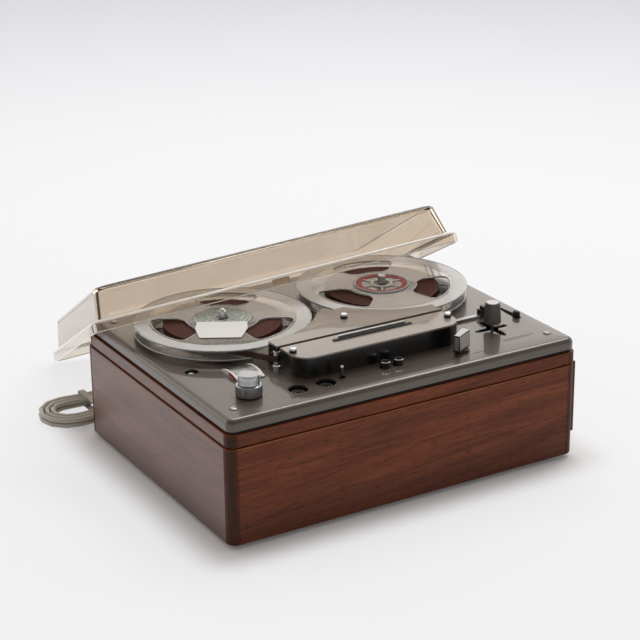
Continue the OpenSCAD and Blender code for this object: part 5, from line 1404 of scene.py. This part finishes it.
@dataclass
class Reel:
    """A clear reel with its tape pack, hub and spindle.

    Attributes:
        side: Name of the body: supply or takeup.
        at: Axis of the reel.
        crackled: Whether its hub is crackled; the other hub has a red ring.
        pack_r: Outer radius of the tape.
        hub_r: Radius of the hub that the tape is wound on.
        tape_w: Width of the tape.
        z_tape: Height of the tape's middle.
        flange: Thickness of the lower flange.
        edge: Radius of the beads that carry the painted highlight along the flanges' rims.
        band: Inner and outer radius of the frosted band.
        label: Direction of the label's spoke in degrees.
        spindle: Height of the spindle over the reel.
    """

    side: str
    at: Pair
    crackled: bool = False
    pack_r: float = 60.0
    hub_r: float = 31.0
    tape_w: float = 6.25
    z_tape: float = 137.4
    flange: float = 1.5
    edge: float = 0.42
    band: Pair = (74.5, 88.0)
    label: float = 240.0
    spindle: float = 10.0

    def lathe(self, name: str, profile: Sequence[Pair], finish: Finish, steps: int, base: float = Z_REEL_TOP) -> None:
        """Turn a piece about the reel's axis.

        Args:
            name: Name of the piece, after the reel's side.
            profile: Points of radius and height.
            finish: Its finish.
            steps: Faces round the axis.
            base: Height from which the profile is measured.
        """
        settle(f"{self.side}_{name}", Mesh().revolve(profile, self.at, steps, base), finish, self.side)

    def pack(self) -> None:
        """Wind the tape, with uneven layers that stand out of its face."""
        dice = random.Random(len(self.side))
        low, high = self.z_tape - self.tape_w / 2, self.z_tape + self.tape_w / 2
        start = self.hub_r + 0.1
        profile: list[Pair] = [(start, low)]
        r = start
        while r < self.pack_r - 0.8:
            deep = 0.5 if dice.random() < 0.16 else 0.16
            profile.append((r, high - dice.random() * deep))
            r += 0.3 + dice.random() * 0.7
        profile += [(self.pack_r, high - 0.05), (self.pack_r, low), (start, low)]
        # Wound oxide tape: dull brown with dark rings where a layer lies deeper.
        oxide = Finish(f"wound oxide tape {self.side}", "oxide_tape", "#6A3A2A", "#2A140F", Pattern.WOUND, 0.8,
                       (0.55, 0.7), ior=1.25, centre=self.at)
        wound = Mesh().revolve(profile, self.at, 128)
        settle(f"{self.side}_pack", wound, oxide, self.side, [f"{self.side}_tape"], crease=50)

    def hub(self) -> None:
        """Face the hub: crackled plastic, or a red ring with pale ribs, inside a lip with a painted highlight."""
        high = 0.6 if self.crackled else 1.4
        if self.crackled:
            face = [(6.4, -0.1), (27.8, -0.1), (27.8, 0.3), (27.2, 0.5), (7.0, 0.5), (6.4, 0.3), (6.4, -0.1)]
            self.lathe("hub_face", face, CRACKLE, 64)
        else:
            self.lathe("hub_ring", tube(21.5, 26.6, -0.1, 0.5), RED, 64)
            self.lathe("hub_collar", tube(9.0, 11.4, -0.1, 1.2), WHITE, 64)
            rib = Mesh().block((10.8, -0.9, -0.1), (21.8, 0.9, 0.8))
            Repeat(f"{self.side}_hub_ribs", 6, (*self.at, Z_REEL_TOP), turn=60).settle(rib, WHITE, self.side)
        # The lip is a painted highlight.
        lip = [(27.2, -0.1), (28.6, -0.1), (28.6, high - 0.3), (28.2, high), (27.6, high), (27.2, high - 0.3),
               (27.2, -0.1)]
        self.lathe("hub_lip", lip, REEL_HIGHLIGHT, 72)

    def frost(self) -> None:
        """Lay the frosted outer band, and a blank label on the crackled reel's spoke."""
        self.lathe("frosted_band", tube(*self.band, -0.05, 0.1), FROST, 128)
        if self.crackled:
            turn = Matrix.Translation((*self.at, Z_REEL_TOP)) @ Matrix.Rotation(math.radians(self.label), 4, "Z")
            plan = [(12, -25), (30, -26), (55, -20.5), (55, 20.5), (30, 26), (12, 25)]
            settle(f"{self.side}_label", Mesh().prism(plan, 0.55, 0.75).moved(turn), PAPER, self.side)

    def build(self) -> None:
        """Make the reel's pieces, and dress its turntable and spindle."""
        clear = Mesh().solid(f"{self.side}_reel")
        # Beads along the flanges' rims carry a painted highlight.
        edges = Mesh()
        for level in (Z_REEL_TOP, Z_REEL + self.flange):
            for line in clear.rims(level, self.hub_r + 2, self.at):
                edges.bead(line, self.edge)
        settle(f"{self.side}_reel_clear", clear, CLEAR, self.side, [f"{self.side}_reel"])
        settle(f"{self.side}_reel_edges", edges, REEL_HIGHLIGHT, self.side, crease=80)
        self.pack()
        self.hub()
        self.frost()
        coat(f"{self.side}_turntable",
             turned(f"turned steel {self.side}", "bright_steel", ("#D2D3D3", "#B2B4B5"), self.at, (0.2, 0.32)))
        if self.crackled:
            cap, finish = [(0.0, -7.0), *arc((0.0, -3.6), 3.9, -60, 80, 12), (0.0, 0.3)], CHROME
        else:
            cap, finish = [(0.0, -8.0), (4.4, -8.0), (4.4, -1.2), (3.9, -0.2), (3.2, 0.1), (0.0, 0.1)], ALUMINIUM
        self.lathe("spindle_cap", cap, finish, 40, Z_REEL_TOP + self.spindle)


@dataclass
class TapeRun:
    """Tape between the two packs, round the outer guides.

    Attributes:
        reel: Axis of the right reel; the left one mirrors it.
        guide: Axis of the right guide; the left one mirrors it.
        pack_path: Radius at which the tape leaves a pack.
        guide_path: Radius at which it runs round a guide.
        low: Height of its lower edge.
        high: Height of its upper edge.
        thin: Half its thickness, drawn thicker than real so that it shows.
    """

    reel: Pair = REEL_AXIS
    guide: Pair = (93.5, -61.0)
    pack_path: float = 60.6
    guide_path: float = 3.3
    low: float = 134.275
    high: float = 140.525
    thin: float = 0.06

    def half(self) -> list[Pair]:
        """Route from the left pack to the middle of the straight run.

        Returns:
            Points in plan.
        """
        dx, dy = -self.guide[0] + self.reel[0], self.guide[1] - self.reel[1]
        lean = math.acos((self.pack_path - self.guide_path) / math.hypot(dx, dy))
        turn = math.atan2(dy, dx) - lean
        leave = (-self.reel[0] + self.pack_path * math.cos(turn), self.reel[1] + self.pack_path * math.sin(turn))
        bend = arc((-self.guide[0], self.guide[1]), self.guide_path, math.degrees(turn) + 360, 270, 10)
        return [leave, *bend, (0.0, self.guide[1] - self.guide_path)]

    def build(self) -> None:
        """Make the ribbon as a thin closed band."""
        left = self.half()
        route = left + [(-x, y) for x, y in reversed(left[:-1])]
        rings = []
        for i, (x, y) in enumerate(route):
            a, b = Vector(route[max(i - 1, 0)]), Vector(route[min(i + 1, len(route) - 1)])
            d = (b - a).normalized() * self.thin
            o, n = (x + d.y, y - d.x), (x - d.y, y + d.x)
            rings.append([(*o, self.low), (*o, self.high), (*n, self.high), (*n, self.low)])
        settle("tape_ribbon", Mesh().loft(rings), OXIDE, stands_for=["tape_run"])


@dataclass
class Meter:
    """Level meter: white cheeks and card, red zone, and a window curved along its depth.

    Attributes:
        at: Middle of the meter.
        size: Width and depth.
        scale: Height of the card.
        card: Thickness of the card.
        card_in: How far the card stays in from the meter's edges.
        foot: Height of the window's lower edge.
        dome: Rise of the window.
        cheek: Thickness of a cheek.
        window: Thickness of the window.
        needle: Axis of the needle, with the scale's ticks round it.
    """

    at: Pair = (-130.0, -59.7)
    size: Pair = (28.5, 36.0)
    scale: float = 126.0
    card: float = 0.3
    card_in: float = 1.6
    foot: float = 129.8
    dome: float = 4.0
    cheek: float = 2.2
    window: float = 0.8
    needle: Pair = (-130.0, -72.7)

    def arch(self, draw: float, steps: int = 16) -> list[Pair]:
        """Arch of the window over its depth, drawn in from its face.

        Args:
            draw: How far it is drawn in.
            steps: Faces along the arch.

        Returns:
            Points of depth and height, from front to back.
        """
        half = self.size[1] / 2
        r = (half * half + self.dome * self.dome) / (2 * self.dome)
        spread = math.degrees(math.asin(half / r))
        centre = (self.at[1], self.foot + self.dome - r)
        return [(y, max(z, self.foot)) for y, z in arc(centre, r - draw, 90 - spread, 90 + spread, steps)][::-1]

    def strip(self, x0: float, x1: float, top: list[Pair], low: list[Pair]) -> Mesh:
        """Raise the band between two lines of depth and height across the meter."""
        plan = top + low[::-1]
        return Mesh().loft([[(x, y, z) for y, z in plan] for x in (x0, x1)])

    def cheeks(self) -> None:
        """Make the white cheeks, with a grey line of painted shade along each arch and the red zone on the left one."""
        (x, y), w, d = self.at, self.size[0] / 2, self.size[1] / 2
        floor = [(py, Z_DECK - 0.2) for py, _ in self.arch(0.5)]
        lines = Mesh()
        for name, side in (("left", -1), ("right", 1)):
            x0, x1 = sorted((x + side * w, x + side * (w - self.cheek)))
            settle(f"meter_cheek_{name}", self.strip(x0, x1, self.arch(-0.1), floor), WHITE, crease=40)
            # A grey line along the arch: painted shade at the cheek's edge.
            x0, x1 = sorted((x + side * (w + 0.04), x + side * (w - 0.15)))
            plan = self.arch(0.2) + self.arch(0.6)[::-1]
            lines.loft([[(px, py, pz) for py, pz in plan] for px in (x0, x1)])
        settle("meter_arch_shade_lines", lines, GREY, crease=40)
        zone = [p for p in self.arch(0.7, 32) if y - d * 0.85 < p[0] < y + d * 0.1]
        under = [(py, max(pz - 3.0, Z_DECK + 0.15)) for py, pz in zone]
        settle("meter_red_zone", self.strip(x - w - 0.08, x - w + 0.2, zone, under), RED, crease=40)

    def build(self) -> None:
        """Make cheeks, card, scale, window and frame."""
        self.cheeks()
        (x, y), w, d = self.at, self.size[0] / 2, self.size[1] / 2
        a, b, face = w - self.card_in, d - self.card_in, self.scale + self.card
        settle("meter_card", Mesh().block((x - a, y - b, self.scale), (x + a, y + b, face)), WHITE)
        tick = Mesh().block((20.0, -0.2, 0.0), (23.5, 0.2, 0.06)).moved(Matrix.Rotation(math.radians(58), 4, "Z"))
        Repeat("meter_ticks", 9, (*self.needle, face), turn=8).settle(tick, INK)
        pane = self.strip(x - w + self.cheek, x + w - self.cheek, self.arch(0.0), self.arch(self.window))
        settle("meter_window", pane, WINDOW, stands_for=["meter_lens"], crease=40)
        frame = Mesh()
        for side in (-1, 1):
            y0, y1 = sorted((y + side * d, y + side * (d - 0.7)))
            frame.block((x - w, y0, self.foot - 0.8), (x + w, y1, self.foot + 0.15))
        settle("meter_frame", frame, GREY)


@dataclass
class Controls:
    """Knobs, switches and levers of the deck; profiles are measured from the deck's face unless a height is named.

    Attributes:
        level: Axis of the two level knobs.
        knurls: Number of ribs round each of them.
        pointer_turn: Direction of their pointer in degrees.
        selector: Axis of the selector.
        selector_turn: Turn of its bar in degrees.
        selector_z: Lower and upper face of its bar.
        stick: Axis of the joystick.
        stick_z: Lower and upper face of its grip.
        stick_ribs: Number of ribs on its grip.
        toggle: Axis of the toggle.
        buttons: Axes of the two buttons.
        pause: Pivot of the pause lever.
        pause_z: Lower and upper face of its blade.
        pause_reach: Length of its blade from the pivot.
    """

    level: Pair = LEVEL_AXIS
    knurls: int = 60
    pointer_turn: float = -144.0
    selector: Pair = (78.0, -122.0)
    selector_turn: float = 32.0
    selector_z: Pair = (131.2, 148.4)
    stick: Pair = STICK_AXIS
    stick_z: Pair = (135.0, 157.0)
    stick_ribs: int = 44
    toggle: Pair = (-54.4, -117.0)
    buttons: tuple[Pair, Pair] = ((-6.2, -117.0), (8.5, -117.4))
    pause: Pair = (111.0, -56.0)
    pause_z: Pair = (130.0, 131.6)
    pause_reach: float = 38.0

    def knobs(self) -> None:
        """Make the double level knob on a black washer that stands for the shade under it: painted shade."""
        at, around = self.level, 360 / self.knurls
        spun = turned("spun aluminium knob", "spun_aluminium", ("#BDBEC0", "#A2A4A6"), at, (0.24, 0.34))
        cap = [(0, 11.8), (9.7, 11.8), (10.3, 12.0), (10.5, 12.5), (9.8, 20.2), (9.5, 20.9), (9.0, 21.3), (8.6, 21.3),
               (8.4, 21.15), (0, 21.15)]
        settle("level_knob_cap", Mesh().revolve(cap, at, 72, Z_DECK), spun, "upper_knob", ["level_knob"])
        rib = Mesh().block((9.9, -0.16, 12.8), (10.38, 0.16, 16.8))
        Repeat("level_knob_ribs", self.knurls, (*at, Z_DECK), turn=around).settle(rib, spun, "upper_knob")
        ring = [(6.4, 0.9), (12.0, 0.9), (12.3, 1.3), (12.3, 10.4), (11.9, 11.0), (11.2, 11.35), (6.4, 11.35),
                (6.4, 0.9)]
        settle("level_ring_body", Mesh().revolve(ring, at, 72, Z_DECK), KNURLED, "lower_ring", ["level_ring"])
        knurl = Mesh().block((12.1, -0.24, 1.2), (12.6, 0.24, 10.2))
        Repeat("level_ring_knurls", self.knurls, (*at, Z_DECK), turn=around).settle(knurl, KNURLED, "lower_ring")
        lip = [(10.6, 11.25), (11.5, 11.25), (11.6, 11.35), (11.3, 11.5), (10.8, 11.5), (10.6, 11.4), (10.6, 11.25)]
        settle("level_ring_lip", Mesh().revolve(lip, at, 72, Z_DECK), CHROME, "lower_ring")
        mark = Mesh().block((12.0, -0.9, 1.8), (13.5, 0.9, 8.4))
        mark.moved(Matrix.Translation((*at, Z_DECK)) @ Matrix.Rotation(math.radians(self.pointer_turn), 4, "Z"))
        settle("level_pointer", mark, ALUMINIUM, "lower_ring", bevel=0.7)
        # The black washer is painted shade under the ring.
        settle("level_shade_washer", Mesh().revolve(tube(6.2, 12.4, 0.0, 0.6), at, 64, Z_DECK), BLACK_RUBBER)

    def bar(self) -> None:
        """Make the selector's wedge-shaped bar with its bright faces, on its black disc."""
        low, top = self.selector_z
        turn = Matrix.Translation((*self.selector, 0.0)) @ Matrix.Rotation(math.radians(self.selector_turn), 4, "Z")

        def wedge(near: float, far: float, half: float, z: float) -> list[Triple]:
            """Ring of the wedge at one height, from half its near width to half its far width."""
            return [(-half, -near, z), (half, -far, z), (half, far, z), (-half, near, z)]

        core = Mesh().loft([wedge(3.3, 4.5, 11.2, low), wedge(2.9, 4.1, 10.9, top - 0.7)])
        settle("selector_core", core.moved(turn), BLACK, "selector", ["selector_knob"], bevel=0.2)
        cap = Mesh().loft([wedge(2.85, 4.05, 10.85, top - 0.8), wedge(2.75, 3.95, 10.75, top)])
        settle("selector_cap", cap.moved(turn), ALUMINIUM, "selector", bevel=0.25)
        faces = Mesh()
        plan = [(-10.0, low + 1.6), (10.0, low + 1.6), (10.0, top - 1.6), (-10.0, top - 1.6)]
        for s in (-1, 1):
            faces.loft([[(x, s * (3.9 + 0.6 * x / 11 - 0.4 * (z - low) / 17 + out), z) for x, z in plan]
                        for out in (-0.3, 0.22)])
        settle("selector_faces", faces.moved(turn), ALUMINIUM, "selector", bevel=0.12)
        ends = Mesh()
        for x, half in ((-11.0, 2.3), (11.0, 3.4)):
            ends.block((x - 0.3, -half, low + 1.8), (x + 0.3, half, top - 2.0))
        settle("selector_ends", ends.moved(turn), KNURLED, "selector", bevel=0.12)
        disc = [(0, 1.0), (7.2, 1.0), (7.7, 1.3), (7.7, 2.3), (7.3, 2.7), (0, 2.7)]
        settle("selector_disc", Mesh().revolve(disc, self.selector, 48, Z_DECK), BLACK, "selector")

    def joystick(self) -> None:
        """Make the joystick's ribbed grip with its bright disc."""
        low, top = self.stick_z
        stem = [(0, -17), (1.6, -17), (1.6, 0), (7.4, 0), (8.3, 0.4), (8.5, 1.2), (7.3, 21.3), (6.9, 21.9), (6.5, 22.0),
                (0, 22.0)]
        settle("joystick_grip", Mesh().revolve(stem, self.stick, 72, low), GREY, "joystick", ["joystick_lever"])
        rib = Mesh().loft([[(inner, -half, z), (outer, -half, z), (outer, half, z), (inner, half, z)]
                           for inner, outer, half, z in ((8.2, 8.75, 0.2, 1.4), (7.1, 7.55, 0.18, 20.6))])
        ribs = Repeat("joystick_ribs", self.stick_ribs, (*self.stick, low), turn=360 / self.stick_ribs)
        ribs.settle(rib, GREY, "joystick")
        disc = [(0, 0), (6.4, 0), (6.4, 0.25), (6.0, 0.4), (5.4, 0.3), (0, 0.3)]
        spun = turned("spun aluminium disc", "spun_aluminium", ("#CBCBCE", "#B2B3B6"), self.stick, (0.28, 0.38))
        settle("joystick_cap", Mesh().revolve(disc, self.stick, 48, top), spun, "joystick")

    def switches(self) -> None:
        """Make the toggle and the two buttons."""
        lever = [(0, -6), (1.6, -6), (1.7, 0.8), (2.2, 1.5), (2.4, 2.2), (2.1, 3.0), (1.5, 9.0), (1.2, 9.6), (0, 9.6)]
        settle("toggle_stem", Mesh().revolve(lever, self.toggle, 32, Z_DECK), BLACK, "toggle", ["toggle_lever"])
        tip = [(0, 9.4), (1.1, 9.4), (1.35, 10.0), (1.4, 11.0), (1.0, 11.6), (0, 11.8)]
        settle("toggle_tip", Mesh().revolve(tip, self.toggle, 32, Z_DECK), WHITE, "toggle")
        side = [(0, -8), (4.95, -8), (4.95, 2.2), (4.6, 2.4), (4.6, 2.9), (4.95, 3.1), (4.95, 5.0), (4.5, 5.3),
                (3.2, 5.2), (0, 5.2)]
        rim = [(0, 5.1), (4.9, 5.1), (4.98, 5.5), (4.4, 6.0), (3.9, 6.0), (3.5, 5.8), (0, 5.75)]
        for name, at in zip(("left", "right"), self.buttons):
            body = f"button_{name}"
            settle(f"{name}_button_body", Mesh().revolve(side, at, 48, Z_DECK), DARK_CHROME, body, [f"record_{body}"])
            settle(f"{name}_button_rim", Mesh().revolve(rim, at, 48, Z_DECK), CHROME, body)

    def lever(self) -> None:
        """Make the pause lever's bright blade and its black handle."""
        (x, y), (low, high), tip = self.pause, self.pause_z, self.pause[0] + self.pause_reach
        plan = arc((x, y), 4.0, 48, 312, 20) + [(x + 12, y - 2.6), (tip, y - 2.9), (tip, y + 2.9), (x + 12, y + 2.6)]
        blade = Mesh().prism(plan, low, high)
        blade.revolve([(0, -9), (1.95, -9), (1.95, 0.2), (0, 0.2)], self.pause, 24, low)
        blade.revolve([(0, -0.1), (2.6, -0.1), (2.4, 0.6), (0, 0.7)], self.pause, 24, high)
        settle("pause_blade", blade, ALUMINIUM, "pause", ["pause_lever"], bevel=0.3)
        handle = Mesh().block((tip - 4.2, y - 3.6, low), (tip + 3.8, y + 3.6, low + 7.0))
        handle.block((tip - 1.2, y - 3.2, low + 6.8), (tip + 3.6, y + 3.2, low + 10.2))
        settle("pause_handle", handle, BLACK, "pause", bevel=0.4)

    def build(self) -> None:
        """Dress the controls."""
        self.knobs()
        self.bar()
        self.joystick()
        self.switches()
        self.lever()


@dataclass
class Lid:
    """Smoked lid, leaning askew behind the recorder.

    Attributes:
        size: Width and depth of its rim.
        at: Middle of its rim.
        tilt: Turns about X, Y and Z in degrees.
        rim: Height of the rim.
        ledge: Width of the ledge over the rim.
        rise: Height of the bowl over the ledge.
        draft: How far the bowl's sides lean in.
        wall: Thickness.
        fillet: Radius along the top's edges.
        corner: Radius of the corners.
        soft: Radius along the ledge's edges.
        crisp: Radius along its sharper edges.
        catch: Width, thickness and height of the catch in the front rim.
        catch_z: Height of the catch's lower edge.
    """

    size: Pair = (397.6, 312.6)
    at: Triple = (8.6, 186.6, 93.1542)
    tilt: Triple = (-26.7352, -6.49609, -9.8)
    rim: float = 12.0
    ledge: float = 6.6
    rise: float = 33.6
    draft: float = 5.4
    wall: float = 2.4
    fillet: float = 5.0
    corner: float = 10.0
    soft: float = 3.0
    crisp: float = 0.6
    catch: Triple = (18.0, 3.0, 7.0)
    catch_z: float = 1.5

    def ring(self, draw: float, z: float, trim: float = 0.0) -> list[Triple]:
        """Ring drawn in from the rim, with its corners' radius trimmed."""
        w, d = self.size
        return rounded(w - 2 * draw, d - 2 * draw, self.corner - trim, z, 10)

    def rings(self, inset: float) -> list[list[Triple]]:
        """Rings of the skin from the rim's foot to the roof.

        Args:
            inset: 0 for the outer skin, the wall for the inner one.

        Returns:
            Rings about the lid's own middle.
        """
        top, shelf, f = self.rim + self.rise - inset, self.rim - inset, self.fillet
        foot = self.ledge + inset
        lean = foot + self.draft
        out, into = (self.crisp, self.soft) if inset else (self.soft, self.crisp)
        rows = [self.ring(inset, 0.0, inset)]
        rows += [self.ring(inset + out * (1 - math.cos(t)), shelf - out + out * math.sin(t), inset) for t in QUARTER]
        rows += [self.ring(foot - into * a, shelf + into * b) for a, b in ((1.0, 0.0), (0.3, 0.3), (0.0, 1.0))]
        rows += [self.ring(lean + f * (1 - math.cos(t)), top - f + f * math.sin(t)) for t in QUARTER]
        return rows

    def shell(self) -> Mesh:
        """Join the outer and the inner skin at the rim's foot.

        Returns:
            The closed shell about the lid's own middle.
        """
        outer, inner = self.rings(0.0), self.rings(self.wall)
        skin = Mesh().loft(outer, caps=False).loft(inner, caps=False)
        bm = skin.bm
        bm.verts.ensure_lookup_table()
        count, last = len(outer[0]), len(outer) - 1
        under = len(outer) * count
        for row, step in ((last * count, 1), (under + last * count, -1)):
            bm.faces.new([bm.verts[row + i] for i in range(count)][::step])
        for i in range(count):
            j = (i + 1) % count
            bm.faces.new((bm.verts[under + i], bm.verts[under + j], bm.verts[j], bm.verts[i]))
        return skin

    def bright(self) -> Mesh:
        """Bands of painted highlight on the ledge's round and on the rim's foot.

        Returns:
            The bands about the lid's own middle.
        """
        bands = Mesh()
        thick, soft = self.wall, self.soft
        bow = [(soft + 0.05, t) for t in QUARTER] + [(soft - 0.5, t) for t in reversed(QUARTER)]
        ledge = [(soft - r * math.cos(t), self.rim - soft + r * math.sin(t)) for r, t in bow]
        foot = [(-0.04, 0.8), (0.3, 0.9), (thick - 0.3, 0.9), (thick + 0.04, 0.8), (thick + 0.04, -0.04),
                (-0.04, -0.04)]
        for plan in (ledge, foot):
            bands.loft([self.ring(draw, z, max(draw, 0.0)) for draw, z in plan], close=True)
        return bands

    def deep(self) -> Mesh:
        """Lines along the front's top edge and down its two corners.

        Returns:
            The lines about the lid's own middle.
        """
        lean, top, f, low = self.ledge + self.draft, self.rim + self.rise, self.fillet, self.rim + 0.8
        turns = [math.radians(30 + 10 * i) for i in range(7)]
        bow = [(f + 0.05, t) for t in turns] + [(f - 0.4, t) for t in reversed(turns)]
        crest = [(lean + f - r * math.cos(t), top - f + r * math.sin(t)) for r, t in bow]
        side = [(self.ledge - 0.05, low), (lean - 0.05, top - f), (lean + 0.4, top - f), (self.ledge + 0.4, low)]
        lines = Mesh()
        # The front and its corners, then the left and the right corner alone, as points of a ring.
        for plan, first, last in ((crest, 15, 30), (side, 16, 18), (side, 27, 29)):
            rings = [self.ring(draw, z) for draw, z in plan]
            lines.loft([[ring[k] for ring in rings] for k in range(first, last + 1)])
        return lines

    def build(self) -> None:
        """Make the lid, its bands of painted highlight, its deep edges and its catch, and lean them in place."""
        turn = Euler([math.radians(a) for a in self.tilt], "XYZ").to_matrix().to_4x4()
        place = Matrix.Translation(self.at) @ turn
        settle("smoked_lid", self.shell().moved(place), ACRYLIC, "lid", ["lid_cover"])
        # The cream bands are a painted highlight.
        settle("lid_bright_edges", self.bright().moved(place), ACRYLIC_HIGHLIGHT, "lid", crease=50)
        settle("lid_top_edge", self.deep().moved(place), ACRYLIC_DEEP, "lid", crease=50)
        w, t, h = self.catch
        front = -self.size[1] / 2 + self.wall - 0.5
        block = Mesh().block((-w / 2, front, self.catch_z), (w / 2, front + t, self.catch_z + h))
        settle("lid_catch", block.moved(place), ACRYLIC, "lid", bevel=0.5)


# CAD nodes that no piece replaces, and their finishes.
PLAIN: dict[str, Finish] = {
    "bottom_cover": HARDBOARD, "rubber_feet": RUBBER, "loudspeaker": ZINC, "deck_seal": BLACK_RUBBER,
    "chassis_plate": ZINC, "deck_screws": STEEL, "head_mount": ZINC, "tape_heads": STEEL, "tape_guides": CHROME,
    # The joystick's bracket and the slide pot are painted near black as the shade in the deck's slots.
    "meter_case": WHITE, "joystick_bracket": SLOT_SHADE_STEEL, "level_pot": ZINC, "selector_switch": ZINC,
    "slide_pot": SLOT_SHADE_STEEL, "button_switches": BLACK, "motor": ZINC, "power_transformer": IRON,
    "amplifier_board": BOARD, "drive_belt": BLACK_RUBBER, "spindle_bushes": BRASS, "cord_gland": BLACK_RUBBER,
    "capstan_flywheel": STEEL, "motor_pulley": BRASS, "pinch_arm": ZINC, "pinch_roller": BLACK_RUBBER,
    "joystick_gimbal": SLOT_SHADE_STEEL, "tone_slider": BLACK, "meter_needle": RED,
}


def main() -> None:
    """Build the scene, piece by piece."""
    logging.basicConfig(level=logging.INFO, format="%(message)s")
    FRAME.update(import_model())
    Studio().build()
    MainsLead().build()
    Cabinet().build()
    Deck().build()
    HeadCover().build()
    Reel("supply", (-REEL_AXIS[0], REEL_AXIS[1]), crackled=True).build()
    Reel("takeup", REEL_AXIS).build()
    TapeRun().build()
    Meter().build()
    Controls().build()
    Lid().build()
    for node, finish in PLAIN.items():
        coat(node, finish)


if __name__ == "__main__":
    main()
